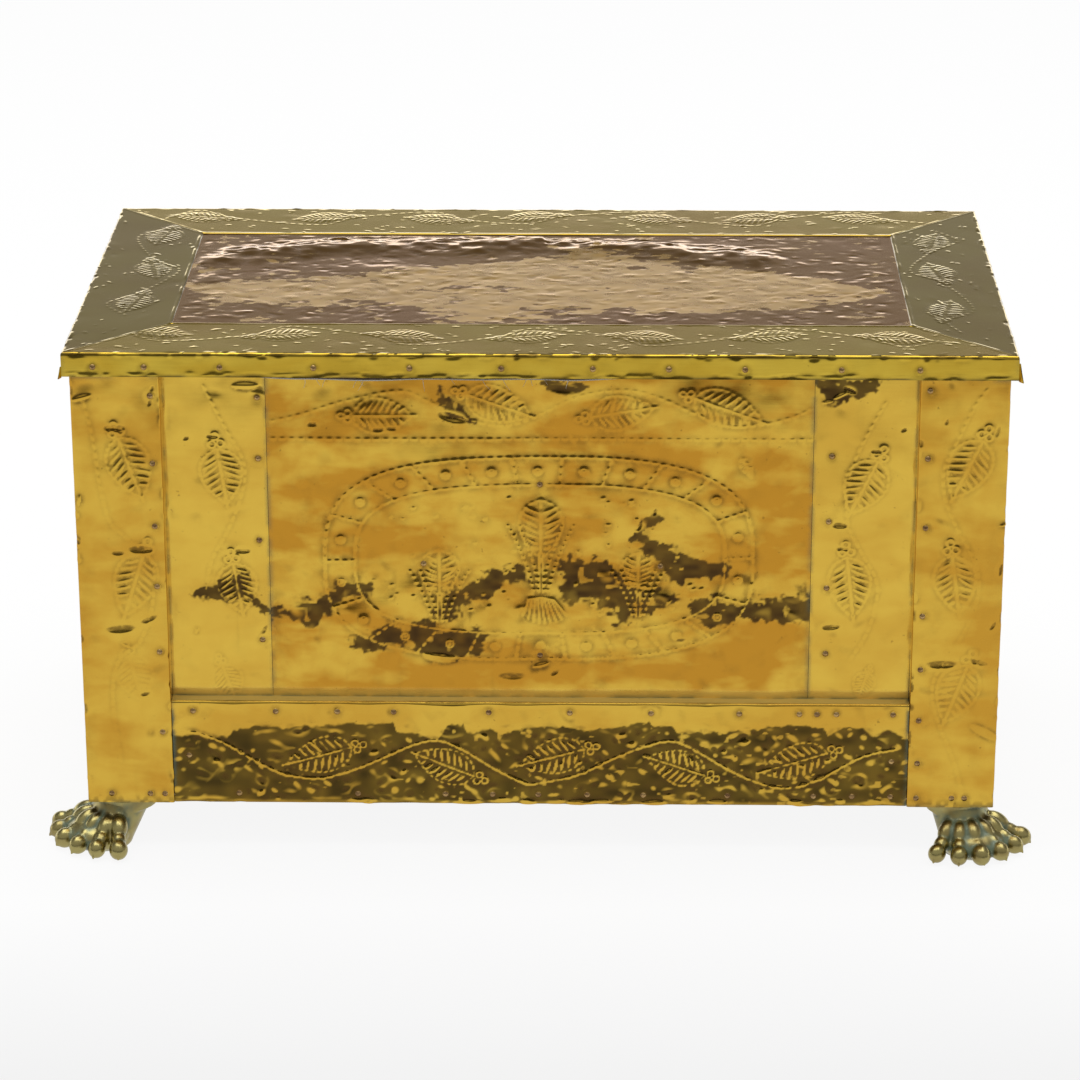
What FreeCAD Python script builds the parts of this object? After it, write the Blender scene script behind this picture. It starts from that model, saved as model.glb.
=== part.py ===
import FreeCAD, Part
import math
import os
import re

import Sketcher
from FreeCAD import Placement, Rotation, Vector

# A brass-clad storage chest. A plain wooden carcass carries thin embossed brass
# sheets that are held by round-headed pins. The front has two planted stiles and
# a planted bottom rail, the lid swings on two butt hinges, and four cast lion's
# paw feet carry the case. Millimetres, +X right, +Y back, +Z up. The origin is on
# the floor, under the middle of the case.

SIZES = {
    # wooden carcass
    "case_width": 650,
    "case_depth": 354,
    "case_height": 323,
    "board": 16,
    "floor_board": 12,
    "batten": 20,
    "batten_drop": 25,
    "edge_round": 3,
    # planted stiles and rail on the front
    "stile_width": 61,
    "stile_depth": 14,
    "rail_height": 78,
    "rail_depth": 12,
    "rail_gap": 4.5,
    # brass sheet
    "sheet_metal": 0.7,
    "corner_wrap": 36,
    "back_return": 26,
    "panel_width": 72,
    # lid
    "overhang": 4.5,
    "lid_board": 16,
    "border_width": 70,
    "lining": 1.2,
    "lining_margin": 3,
    # butt hinges
    "hinge_length": 64,
    "hinge_inset": 95,
    "leaf_width": 14,
    "leaf_metal": 1.6,
    "knuckle_radius": 2.6,
    "knuckle_gap": 0.4,
    "axis_out": 1.2,
    "hinge_pin_radius": 1.3,
    "running_clearance": 0.05,
    "gain_clearance": 0.3,
    "hinge_screw_head": 2.9,
    "hinge_screw_radius": 1.5,
    "hinge_screw_length": 13,
    "hinge_screw_edge": 10,
    "countersink": 1.4,
    # paw feet
    "foot_height": 34,
    "foot_inset": 24,
    "front_left_twist": 2,
    "front_right_twist": 19,
    "back_left_twist": 12,
    "back_right_twist": 6,
    "ankle_radius": 22,
    "collar_radius": 23.4,
    "collar_height": 8,
    "throat_radius": 20.5,
    "instep_radius": 21,
    "instep_height": 15,
    "instep_forward": 9,
    "sole_radius": 19,
    "sole_forward": 20,
    "fan_forward": 6,
    "toe_start": 10,
    "toe_reach": 42,
    "toe_top": 25,
    "toe_ball_height": 7.2,
    "toe_root_radius": 4.8,
    "toe_knuckle_radius": 7.4,
    "toe_neck_radius": 4.6,
    "toe_ball_radius": 8.3,
    "claw_back": 7.2,
    "claw_radius": 3.3,
    "claw_length": 3,
    "claw_tip_radius": 0.9,
    "toe_spread": 20.5,
    "stud_radius": 3,
    "stud_in_foot": 16,
    "stud_in_case": 28,
    # carcass nails
    "nail_head_radius": 2.2,
    "nail_head": 1.2,
    "nail_radius": 1.1,
    "nail_length": 42,
    # cladding pins
    "pin_head_radius": 2.1,
    "pin_head_rise": 1.1,
    "pin_radius": 0.7,
    "pin_length": 9,
    "pin_edge": 7,
    "stile_pin_edge": 6,
    "hole_clearance": 0.1,
    "cut_overrun": 2,
}

# How many there are of each repeated thing
KNUCKLE_COUNT = 5
HINGE_SCREW_COUNT = 3
TOE_COUNT = 6
CORNER_NAIL_COUNT = 4
FLOOR_NAIL_COUNT = 5
LID_BACK_PIN_COUNT = 11
LID_SIDE_PIN_COUNT = 6
END_COLUMN_PIN_COUNT = 6
END_ROW_PIN_COUNT = 5
BACK_PIN_COUNT = 5

# The front's pins were set by eye. On a stile they run up its inner edge and along its foot,
# as shares of the way up and of the way out, on the left and on the right.
STILE_PIN_SHARES = {
    -1: (0, 0.16, 0.365, 0.53, 0.68, 0.835, 1),
    1: (0, 0.09, 0.2, 0.33, 0.465, 0.685, 0.855, 1.02),
}
STILE_FOOT_PIN_SHARES = {-1: (0.22, 0.8), 1: (0.53, 0.72)}
# Pins of the narrow front sheets, as shares of the sheet's width and height
PANEL_PIN_SHARES = {
    -1: ((0.09, 0.175), (0.095, 0.485), (0.085, 0.735), (0.08, 0.92)),
    1: ((0.165, 0.14), (0.16, 0.345), (0.165, 0.55), (0.18, 0.75)),
}
# The oval medallion's four holding pins, as shares of the centre sheet's half width and height
MEDALLION_PIN_SHARES = ((0, 0.66), (-0.43, 0.415), (0.445, 0.41), (0, 0.13))
# Pins along the rail's top, its foot and its two ends, and along the lid's front edge, as shares
# of the half length that they spread over. The ends' are also a share of the way up.
RAIL_TOP_PIN_SHARES = (-0.985, -0.75, -0.575, -0.415, -0.145, 0.085, 0.315, 0.565, 0.735, 0.785, 0.84, 1)
RAIL_FOOT_PIN_SHARES = (-0.86, -0.52, -0.27, -0.135, -0.005, 0.135, 0.295, 0.535, 0.78, 0.89, 1)
RAIL_END_PIN_SHARES = ((-1, 0.46), (1, 0.43))
LID_FRONT_PIN_SHARES = (-1, -0.885, -0.715, -0.505, -0.29, -0.085, 0.12, 0.29, 0.46, 0.675, 0.85)
# The toe's knuckle and neck, as shares of the run from its root to its ball
TOE_KNUCKLE_SHARE = 0.42
TOE_NECK_SHARE = 0.74
# Corners this close, as a share of the sheet's thickness, are the same corner
SAME_PLACE_SHARE = 0.05

# Places that follow from the sizes, as formulas
PLACES = {
    "half_case": "case_width / 2",
    "half_depth": "case_depth / 2",
    "half_inner": "half_case - board",
    "panel_face": "stile_depth - half_depth",
    "inner_front": "panel_face + board",
    "inner_back": "half_depth - board",
    "inner_depth": "inner_back - inner_front",
    "stile_inner": "half_case - stile_width",
    "panel_edge": "stile_inner - sheet_metal",
    "centre_half": "panel_edge - panel_width",
    "rail_half": "panel_edge - rail_gap",
    "panel_foot": "foot_height + rail_height + sheet_metal",
    "rim": "foot_height + case_height",
    "lid_under": "rim + lining",
    "lid_over": "lid_under + lid_board",
    "half_lid": "half_case + overhang",
    "half_lid_depth": "half_depth + overhang",
    "lid_edge_x": "half_lid + sheet_metal",
    "lid_edge_y": "half_lid_depth + sheet_metal",
    "border_x": "lid_edge_x - border_width",
    "border_y": "lid_edge_y - border_width",
    "hinge_y": "half_depth + axis_out",
    "hinge_z": "rim + lining / 2",
    "hinge_start": "half_case - hinge_inset - hinge_length",
    "knuckle_length": f"hinge_length / {KNUCKLE_COUNT}",
    "hinge_hole_radius": "hinge_screw_radius + hole_clearance",
    "foot_x": "half_case - foot_inset",
    "foot_y": "half_depth - foot_inset",
    "toe_fall": "toe_top - toe_ball_height",
    "toe_span": "toe_reach - toe_start",
    "toe_run": "sqrt(toe_fall ^ 2 + toe_span ^ 2)",
}

doc = FreeCAD.newDocument("brass_clad_chest")
sizes = doc.addObject("Spreadsheet::Sheet", "sizes")
for line, (name, value) in enumerate(SIZES.items(), start=1):
    sizes.set(f"A{line}", name)
    sizes.set(f"B{line}", str(value))
    sizes.setAlias(f"B{line}", name)
doc.recompute()

nodes = []


# Formulas and small helpers


def formula(text):
    """The text with every place spelled out and every size read from the sheet."""

    def spell(match):
        word = match.group(0)
        if word in PLACES:
            return "(" + formula(PLACES[word]) + ")"
        return "sizes." + word if word in SIZES else word

    return re.sub(r"[a-z_]+", spell, str(text))


def number(text):
    return float(sizes.evalExpression(formula(text)))


def bind(thing, **bound):
    for key, text in bound.items():
        thing.setExpression(key.replace("__", "."), formula(text))
    return thing


def place(thing, x=0, y=0, z=0):
    return bind(thing, Placement__Base__x=x, Placement__Base__y=y, Placement__Base__z=z)


def keep(thing):
    nodes.append(thing)
    return thing


def mirrored(side, text):
    return text if side > 0 or text == "0" else f"0 - ({text})"


def spread(side, inner, outer):
    """Low and high ends of a span on one side of the middle plane."""
    return (inner, outer) if side > 0 else (mirrored(-1, outer), mirrored(-1, inner))


def side_name(side):
    return "right" if side > 0 else "left"


def block(label, low, high):
    """A board between two corners, given as formulas."""
    box = doc.addObject("Part::Box", label)
    spans = [f"({b}) - ({a})" for a, b in zip(low, high)]
    bind(box, Length=spans[0], Width=spans[1], Height=spans[2])
    return place(box, *low)


def cut(label, base, tools):
    """The base with every tool taken away from it."""
    result = base
    for count, tool in enumerate(tools, start=1):
        cutter = doc.addObject("Part::Cut", label if count == len(tools) else f"{label}_stage_{count}")
        cutter.Base = result
        cutter.Tool = tool
        result = cutter
    return result


def group(label, shapes):
    """Separate solids kept together, such as a set of pins."""
    feature = doc.addObject("Part::Feature", label)
    feature.Shape = Part.makeCompound(shapes)
    return feature


# Sketches and the features made from them


def origin_plane(body, role):
    return next(f for f in body.Origin.OriginFeatures if f.Role == role)


def new_sketch(body, name, role):
    sketch = body.newObject("Sketcher::SketchObject", name)
    sketch.AttachmentSupport = (origin_plane(body, role), [""])
    sketch.MapMode = "FlatFace"
    return sketch


def fix_point(sketch, geometry, vertex, x, y):
    """Ties a vertex to its place in the sketch by two bound dimensions."""
    for kind, axis, text in (("DistanceX", -2, x), ("DistanceY", -1, y)):
        at = number(text)
        if at == 0:
            sketch.addConstraint(Sketcher.Constraint("PointOnObject", geometry, vertex, axis))
        elif at > 0:
            index = sketch.addConstraint(Sketcher.Constraint(kind, -1, 1, geometry, vertex, at))
            sketch.setExpression(f"Constraints[{index}]", formula(text))
        else:
            index = sketch.addConstraint(Sketcher.Constraint(kind, geometry, vertex, -1, 1, -at))
            sketch.setExpression(f"Constraints[{index}]", formula(f"0 - ({text})"))


def outline(body, name, role, corners):
    """A closed outline of straight edges through corners that are given as formulas."""
    sketch = new_sketch(body, name, role)
    points = [Vector(number(x), number(y), 0) for x, y in corners]
    count = len(points)
    for i in range(count):
        sketch.addGeometry(Part.LineSegment(points[i], points[(i + 1) % count]), False)
    for i in range(count):
        sketch.addConstraint(Sketcher.Constraint("Coincident", i, 2, (i + 1) % count, 1))
    for i, (x, y) in enumerate(corners):
        fix_point(sketch, i, 1, x, y)
    return sketch


def circle(body, name, role, centre, radius):
    sketch = new_sketch(body, name, role)
    at = Vector(number(centre[0]), number(centre[1]), 0)
    sketch.addGeometry(Part.Circle(at, Vector(0, 0, 1), number(radius)), False)
    fix_point(sketch, 0, 3, *centre)
    index = sketch.addConstraint(Sketcher.Constraint("Radius", 0, number(radius)))
    sketch.setExpression(f"Constraints[{index}]", formula(radius))
    return sketch


def pad(body, sketch, length, reverse=False):
    feature = body.newObject("PartDesign::Pad", sketch.Name + "_pad")
    feature.Profile = sketch
    feature.Reversed = reverse
    return bind(feature, Length=length)


def pocket(body, sketch, both_ways=True):
    feature = body.newObject("PartDesign::Pocket", sketch.Name + "_pocket")
    feature.Profile = sketch
    feature.Type = 1
    feature.Midplane = both_ways
    return feature


def turned(body, sketch, axis):
    feature = body.newObject("PartDesign::Revolution", sketch.Name + "_turned")
    feature.Profile = sketch
    feature.ReferenceAxis = (sketch, [axis])
    feature.Angle = 360
    return feature


def edges_through(feature, places):
    """Names of the straight edges that hold both given end points."""
    doc.recompute()
    found = []
    for index, edge in enumerate(feature.Shape.Edges, start=1):
        ends = [v.Point for v in edge.Vertexes]
        for ask in places:
            miss = [min((end - point).Length for end in ends) for point in ask]
            if max(miss) < number("sheet_metal") * SAME_PLACE_SHARE:
                found.append(f"Edge{index}")
    return found


def bend(body, feature, places, radius):
    """Rounds straight edges, each given by its two end points as formulas."""
    asked = [[Vector(*[number(c) for c in p]) for p in ends] for ends in places]
    names = edges_through(feature, asked)
    rounding = body.newObject("PartDesign::Fillet", feature.Name + "_bend")
    rounding.Base = (feature, names)
    return bind(rounding, Radius=radius)


def upright(corners, height):
    """End points of the upright edges over the given plan corners."""
    return [((x, y, 0), (x, y, height)) for x, y in corners]


def level(corners, length):
    """End points of the edges along X through the given side-view corners."""
    return [((0, y, z), (length, y, z)) for y, z in corners]


# Fasteners: one master of each, copied to its places


def make_pin():
    """Round-headed pin, its head's underside at the origin and its shank along -Z."""
    body = doc.addObject("PartDesign::Body", "pin_master")
    sketch = new_sketch(body, "pin_half", "XZ_Plane")
    shank, head, rise = number("pin_radius"), number("pin_head_radius"), number("pin_head_rise")
    deep = -number("pin_length")
    corners = [(0, deep), (shank, deep), (shank, 0), (head, 0), (0, rise)]
    points = [Vector(x, y, 0) for x, y in corners]
    for a, b in ((0, 1), (1, 2), (2, 3), (4, 0)):
        sketch.addGeometry(Part.LineSegment(points[a], points[b]), False)
    radius = (head**2 + rise**2) / (2 * rise)
    middle = Vector(0, rise - radius, 0)
    start = math.atan2(-middle.y, head)
    dome = Part.ArcOfCircle(Part.Circle(middle, Vector(0, 0, 1), radius), start, math.pi / 2)
    sketch.addGeometry(dome, False)
    joins = ((0, 2, 1, 1), (1, 2, 2, 1), (2, 2, 4, 1), (4, 2, 3, 1), (3, 2, 0, 1))
    for join in joins:
        sketch.addConstraint(Sketcher.Constraint("Coincident", *join))
    fix_point(sketch, 0, 1, "0", "0 - pin_length")
    fix_point(sketch, 1, 1, "pin_radius", "0 - pin_length")
    fix_point(sketch, 2, 1, "pin_radius", "0")
    fix_point(sketch, 4, 1, "pin_head_radius", "0")
    fix_point(sketch, 4, 2, "0", "pin_head_rise")
    sketch.addConstraint(Sketcher.Constraint("PointOnObject", 4, 3, -2))
    turned(body, sketch, "V_Axis")
    return body


def make_turned(name, corners):
    """A fastener turned about +Z from half its outline."""
    body = doc.addObject("PartDesign::Body", name + "_master")
    turned(body, outline(body, name + "_half", "XZ_Plane", corners), "V_Axis")
    return body


def make_hinge_screw():
    """Countersunk wood screw, its head's face at the origin and its shank along -Z."""
    neck = "hinge_screw_head - hinge_screw_radius"
    corners = [
        ("0", "0"),
        ("0", "0 - hinge_screw_length"),
        ("hinge_screw_radius", f"{neck} - hinge_screw_length"),
        ("hinge_screw_radius", f"0 - ({neck})"),
        ("hinge_screw_head", "0"),
    ]
    return make_turned("hinge_screw", corners)


def make_nail():
    """Flat-headed nail, its head's face at the origin and its point along -Z."""
    corners = [
        ("0", "0"),
        ("0", "0 - nail_length"),
        ("nail_radius", "nail_head - nail_length"),
        ("nail_radius", "0 - nail_head"),
        ("nail_head_radius", "0 - nail_head"),
        ("nail_head_radius", "0"),
    ]
    return make_turned("nail", corners)


def make_stud():
    """Headless stud that joins a foot to the case, its middle where the two meet."""
    corners = [
        ("0", "0 - stud_in_foot"),
        ("stud_radius", "0 - stud_in_foot"),
        ("stud_radius", "stud_in_case - stud_radius"),
        ("0", "stud_in_case"),
    ]
    return make_turned("stud", corners)


pin_master = make_pin()
hinge_screw_master = make_hinge_screw()
nail_master = make_nail()
stud_master = make_stud()
doc.recompute()


def evenly(start, end, count):
    step = (end - start) / (count - 1)
    return [start + step * i for i in range(count)]


def between(start, end, count):
    """Evenly spaced places that leave both ends free."""
    return evenly(start, end, count + 2)[1:-1]


def placed(master, spots):
    """Copies of a fastener with its axis turned from +Z to each spot's outward direction."""
    made = []
    for point, outward in spots:
        shape = master.Shape.Solids[0].copy()
        shape.Placement = Placement(Vector(*point), Rotation(Vector(0, 0, 1), Vector(*outward)))
        made.append(shape)
    return made


def drilled(spots, radius, depth):
    """Round cutters for the fasteners at the given spots, from just outside inwards."""
    over, deep = number("cut_overrun"), number(depth) + number("hole_clearance")
    made = []
    for point, outward in spots:
        away = Vector(*outward)
        top = Vector(*point) + away * over
        made.append(Part.makeCylinder(number(radius), deep + over, top, -away))
    return made


def pin_holes(label, spots):
    return group(label, drilled(spots, "pin_radius + hole_clearance", "pin_length"))


# Where the fasteners go: a point on the outer face and the outward direction

front_way, back_way, up_way = (0, -1, 0), (0, 1, 0), (0, 0, 1)


def stile_spots(side):
    face = -number("half_depth + sheet_metal")
    inner, outer = number("stile_inner + stile_pin_edge"), number("half_case - pin_edge")
    low, high = number("foot_height + pin_edge"), number("rim - 2 * pin_edge")
    points = [(inner, low + share * (high - low)) for share in STILE_PIN_SHARES[side]]
    points += [(inner + share * (outer - inner), low) for share in STILE_FOOT_PIN_SHARES[side]]
    return [((side * x, face, z), front_way) for x, z in points]


def wrap_spots(side):
    """Pins along the edge of the stile's sheet where it turns on to the end of the case."""
    x = side * number("half_case + sheet_metal")
    y = number("corner_wrap - half_depth - pin_edge")
    low, high = number("foot_height + 2 * pin_edge"), number("rim - 2 * pin_edge")
    return [((x, y, z), (side, 0, 0)) for z in evenly(low, high, END_COLUMN_PIN_COUNT)]


def panel_spots(side):
    face, low, inner = number("panel_face - sheet_metal"), number("panel_foot"), number("centre_half")
    tall, wide = number("rim - panel_foot"), number("panel_width")
    points = [(inner + across * wide, low + up * tall) for across, up in PANEL_PIN_SHARES[side]]
    return [((side * x, face, z), front_way) for x, z in points]


def medallion_spots():
    face, low = number("panel_face - sheet_metal"), number("panel_foot")
    tall, half = number("rim - panel_foot"), number("centre_half")
    return [((sx * half, face, low + sz * tall), front_way) for sx, sz in MEDALLION_PIN_SHARES]


def rail_spots():
    face, half = number("panel_face - rail_depth - sheet_metal"), number("rail_half - pin_edge")
    top, foot = number("foot_height + rail_height - pin_edge"), number("foot_height + pin_edge")
    points = [(share * half, top) for share in RAIL_TOP_PIN_SHARES]
    points += [(share * half, foot) for share in RAIL_FOOT_PIN_SHARES]
    points += [(share * half, foot + up * (top - foot)) for share, up in RAIL_END_PIN_SHARES]
    return [((x, face, z), front_way) for x, z in points]


def end_spots(side):
    x = side * number("half_case + sheet_metal")
    near, far = number("corner_wrap - half_depth + pin_edge"), number("half_depth - 2 * pin_edge")
    low, high = number("foot_height + pin_edge"), number("rim - 2 * pin_edge")
    points = [(x, y, z) for y in (near, far) for z in evenly(low, high, END_COLUMN_PIN_COUNT)]
    points += [(x, y, z) for y in between(near, far, END_ROW_PIN_COUNT) for z in (low, high)]
    return [(point, (side, 0, 0)) for point in points]


def back_spots(side):
    x, face = side * number("half_case - back_return + pin_edge"), number("half_depth + sheet_metal")
    low, high = number("foot_height + 2 * pin_edge"), number("rim - 4 * pin_edge")
    return [((x, face, z), back_way) for z in evenly(low, high, BACK_PIN_COUNT)]


def lid_spots():
    z = number("lid_under + pin_edge")
    edge_x, edge_y = number("lid_edge_x"), number("lid_edge_y")
    long, short = number("half_lid - 3 * pin_edge"), number("half_lid_depth - 3 * pin_edge")
    spots = [((share * long, -edge_y, z), front_way) for share in LID_FRONT_PIN_SHARES]
    spots += [((x, edge_y, z), back_way) for x in evenly(-long, long, LID_BACK_PIN_COUNT)]
    for side in (-1, 1):
        across = evenly(-short, short, LID_SIDE_PIN_COUNT)
        spots += [((side * edge_x, y, z), (side, 0, 0)) for y in across]
    return spots


def hinge_screw_spots(direction):
    """Screws of both hinges, from above into the case or from below into the lid."""
    z = number("rim") if direction > 0 else number("lid_under")
    y = number("hinge_y - leaf_width / 2 - knuckle_radius / 2")
    first = number("hinge_start + hinge_screw_edge")
    last = number("hinge_start + hinge_length - hinge_screw_edge")
    across = evenly(first, last, HINGE_SCREW_COUNT)
    return [((side * x, y, z), (0, 0, direction)) for side in (-1, 1) for x in across]


def nail_spots():
    """Nails through the ends into the front and back, and through these into the floor."""
    low, high = number("foot_height + floor_board"), number("rim")
    half, inner = number("half_case"), number("half_inner")
    rows = (number("panel_face + board / 2"), number("half_depth - board / 2"))
    spots = []
    for side in (-1, 1):
        levels = between(low, high, CORNER_NAIL_COUNT)
        spots += [((side * half, y, z), (side, 0, 0)) for y in rows for z in levels]
    z = number("foot_height + floor_board / 2")
    across = between(-inner, inner, FLOOR_NAIL_COUNT)
    spots += [((x, number("panel_face"), z), front_way) for x in across]
    spots += [((x, number("half_depth"), z), back_way) for x in across]
    return spots


def stud_spots():
    x, y, z = number("foot_x"), number("foot_y"), number("foot_height")
    return [((sx * x, sy * y, z), up_way) for sx in (-1, 1) for sy in (-1, 1)]


def make_nail_holes():
    spots = nail_spots()
    shank = drilled(spots, "nail_radius + hole_clearance", "nail_length")
    heads = drilled(spots, "nail_head_radius + hole_clearance", "nail_head - hole_clearance")
    return group("nail_holes", shank + heads)


def make_stud_holes():
    radius, reach = number("stud_radius + hole_clearance"), number("stud_in_case + hole_clearance")
    return group("stud_holes", [Part.makeCylinder(radius, reach, Vector(*p)) for p, way in stud_spots()])


sides = (-1, 1)
nail_holes = make_nail_holes()
stud_holes = make_stud_holes()
case_screw_holes = group(
    "case_screw_holes", drilled(hinge_screw_spots(1), "hinge_hole_radius", "hinge_screw_length")
)
lid_screw_holes = group(
    "lid_screw_holes", drilled(hinge_screw_spots(-1), "hinge_hole_radius", "hinge_screw_length")
)
front_holes = pin_holes("front_pin_holes", panel_spots(-1) + panel_spots(1) + medallion_spots())
rail_holes = pin_holes("rail_pin_holes", rail_spots())
back_holes = pin_holes("back_pin_holes", back_spots(-1) + back_spots(1))
lid_holes = pin_holes("lid_pin_holes", lid_spots())
stile_holes = pin_holes("stile_pin_holes", [p for s in sides for p in stile_spots(s)])
end_holes = pin_holes("end_pin_holes", [p for s in sides for p in end_spots(s) + wrap_spots(s)])


# Wooden carcass


def hinge_seats(name, inner, low, high):
    """Cutters for both hinges from an inner edge to past the lid, between two heights."""
    ends = ("hinge_start - gain_clearance", "hinge_start + hinge_length + gain_clearance")
    far = "half_lid_depth + cut_overrun"
    seats = []
    for side in sides:
        a, b = spread(side, *ends)
        seats.append(block(f"{side_name(side)}_{name}", (a, inner, low), (b, far, high)))
    return seats


leaf_edge = "hinge_y - leaf_width - gain_clearance"
knuckle_edge = "hinge_y - knuckle_radius - gain_clearance"


def build_carcass():
    left, foot, rim = "0 - half_inner", "foot_height", "rim"
    front = block("front_blank", (left, "panel_face", foot), ("half_inner", "inner_front", rim))
    keep(cut("front_board", front, [front_holes, nail_holes, stud_holes]))
    back = block("back_blank", (left, "inner_back", foot), ("half_inner", "half_depth", rim))
    seats = hinge_seats("case_gain", leaf_edge, "rim - leaf_metal", "rim + cut_overrun")
    low = "hinge_z - knuckle_radius - gain_clearance"
    seats += hinge_seats("case_knuckle_room", knuckle_edge, low, "rim + cut_overrun")
    keep(cut("back_board", back, seats + [case_screw_holes, back_holes, nail_holes, stud_holes]))
    top = "foot_height + floor_board"
    floor = block("floor_blank", (left, "inner_front", foot), ("half_inner", "inner_back", top))
    keep(cut("bottom_board", floor, [nail_holes, stud_holes]))


def build_end_board(side):
    """End board with its rear outer arris eased for the brass that is turned round it."""
    name = side_name(side) + "_end_board"
    body = doc.addObject("PartDesign::Body", name + "_body")
    thick, depth = mirrored(side, "board"), "half_depth - panel_face"
    corners = [("0", "0"), (thick, "0"), (thick, depth), ("0", depth)]
    blank = pad(body, outline(body, name + "_plan", "XY_Plane", corners), "case_height")
    bend(body, blank, upright([corners[2]], "case_height"), "edge_round")
    place(body, mirrored(side, "half_inner"), "panel_face", "foot_height")
    keep(cut(name, body, [end_holes, nail_holes, back_holes, stud_holes]))


def build_battens():
    """Square battens in the inner corners, which stiffen the joints of the boards."""
    ends = {
        "front": ("inner_front", "inner_front + batten"),
        "back": ("inner_back - batten", "inner_back"),
    }
    for side in sides:
        a, b = spread(side, "half_inner - batten", "half_inner")
        for end, (near, far) in ends.items():
            name = f"{end}_{side_name(side)}_batten"
            low = (a, near, "foot_height + floor_board")
            stick = block(name + "_blank", low, (b, far, "rim - batten_drop"))
            keep(cut(name, stick, [stud_holes, nail_holes]))


def build_stile(side):
    """Stile planted on the front corner, with both front arrises rounded."""
    name = side_name(side) + "_stile"
    body = doc.addObject("PartDesign::Body", name + "_body")
    width = mirrored(side, "stile_width")
    corners = [("0", "0"), (width, "0"), (width, "stile_depth"), ("0", "stile_depth")]
    blank = pad(body, outline(body, name + "_plan", "XY_Plane", corners), "case_height")
    bend(body, blank, upright(corners[:2], "case_height"), "edge_round")
    place(body, mirrored(side, "stile_inner"), "0 - half_depth", "foot_height")
    keep(cut(name, body, [stile_holes, end_holes, stud_holes]))


def build_rail():
    """Rail planted along the foot of the front, with both front arrises rounded."""
    body = doc.addObject("PartDesign::Body", "front_rail_body")
    deep, tall, length = "rail_depth", "rail_height", "2 * rail_half"
    corners = [("0", "0"), (deep, "0"), (deep, tall), ("0", tall)]
    blank = pad(body, outline(body, "front_rail_side", "YZ_Plane", corners), length)
    bend(body, blank, level([corners[0], corners[3]], length), "edge_round")
    place(body, "0 - rail_half", "panel_face - rail_depth", "foot_height")
    keep(cut("front_rail", body, [rail_holes]))


# Brass cladding of the case


def build_front_sheets():
    """Three flat sheets between the stiles: a centre sheet and a narrow one each side."""
    face, back, foot = "panel_face - sheet_metal", "panel_face", "panel_foot"
    centre = block("centre_flat", ("0 - centre_half", face, foot), ("centre_half", back, "rim"))
    keep(cut("front_centre_sheet", centre, [front_holes]))
    for side in sides:
        a, b = spread(side, "centre_half", "panel_edge")
        name = f"front_{side_name(side)}_sheet"
        flat = block(name + "_flat", (a, face, foot), (b, back, "rim"))
        keep(cut(name, flat, [front_holes]))


def build_stile_sheet(side):
    """Sheet folded over a stile: a short return inside and a longer one round the corner."""
    name = side_name(side) + "_stile_sheet"
    body = doc.addObject("PartDesign::Body", name + "_body")
    wide, wide_inside = "stile_width + 2 * sheet_metal", "stile_width + sheet_metal"
    wrap, turn_in = "corner_wrap + sheet_metal", "stile_depth + sheet_metal"
    plan = [
        ("0", "0"),
        (wide, "0"),
        (wide, wrap),
        (wide_inside, wrap),
        (wide_inside, "sheet_metal"),
        ("sheet_metal", "sheet_metal"),
        ("sheet_metal", turn_in),
        ("0", turn_in),
    ]
    corners = [(mirrored(side, x), y) for x, y in plan]
    folded = pad(body, outline(body, name + "_plan", "XY_Plane", corners), "case_height")
    outer = bend(body, folded, upright(corners[:2], "case_height"), "edge_round + sheet_metal")
    bend(body, outer, upright(corners[4:6], "case_height"), "edge_round")
    place(body, mirrored(side, "panel_edge"), "0 - half_depth - sheet_metal", "foot_height")
    keep(cut(name, body, [stile_holes, end_holes]))


def build_rail_sheet():
    """Sheet folded over the rail, turned in along its top and its foot."""
    body = doc.addObject("PartDesign::Body", "rail_sheet_body")
    deep, length = "rail_depth + sheet_metal", "2 * rail_half"
    tall, tall_inside = "rail_height + 2 * sheet_metal", "rail_height + sheet_metal"
    corners = [
        ("0", "0"),
        (deep, "0"),
        (deep, "sheet_metal"),
        ("sheet_metal", "sheet_metal"),
        ("sheet_metal", tall_inside),
        (deep, tall_inside),
        (deep, tall),
        ("0", tall),
    ]
    folded = pad(body, outline(body, "rail_sheet_side", "YZ_Plane", corners), length)
    outer = bend(body, folded, level([corners[0], corners[7]], length), "edge_round + sheet_metal")
    bend(body, outer, level(corners[3:5], length), "edge_round")
    place(body, "0 - rail_half", "panel_face - rail_depth - sheet_metal", "foot_height - sheet_metal")
    keep(cut("rail_sheet", body, [rail_holes]))


def build_end_sheet(side):
    """Sheet over one end of the case, turned round the rear corner on to the back."""
    name = side_name(side) + "_end_sheet"
    body = doc.addObject("PartDesign::Body", name + "_body")
    inside, turn_in = "0 - sheet_metal", "0 - back_return"
    far = "corner_wrap - case_depth - sheet_metal"
    plan = [("0", "0"), ("0", far), (inside, far), (inside, inside), (turn_in, inside), (turn_in, "0")]
    corners = [(mirrored(side, x), y) for x, y in plan]
    folded = pad(body, outline(body, name + "_plan", "XY_Plane", corners), "case_height")
    outer = bend(body, folded, upright(corners[:1], "case_height"), "edge_round + sheet_metal")
    bend(body, outer, upright(corners[3:4], "case_height"), "edge_round")
    place(body, mirrored(side, "half_case + sheet_metal"), "half_depth + sheet_metal", "foot_height")
    keep(cut(name, body, [end_holes, back_holes]))


# Lid


def build_lid_board():
    low = ("0 - half_lid", "0 - half_lid_depth", "lid_under")
    board = block("lid_blank", low, ("half_lid", "half_lid_depth", "lid_over"))
    under = "lid_under - cut_overrun"
    seats = hinge_seats("lid_gain", leaf_edge, under, "lid_under + leaf_metal")
    high = "hinge_z + knuckle_radius + gain_clearance"
    seats += hinge_seats("lid_knuckle_room", knuckle_edge, under, high)
    keep(cut("lid_board", board, seats + [lid_screw_holes, lid_holes]))


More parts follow.
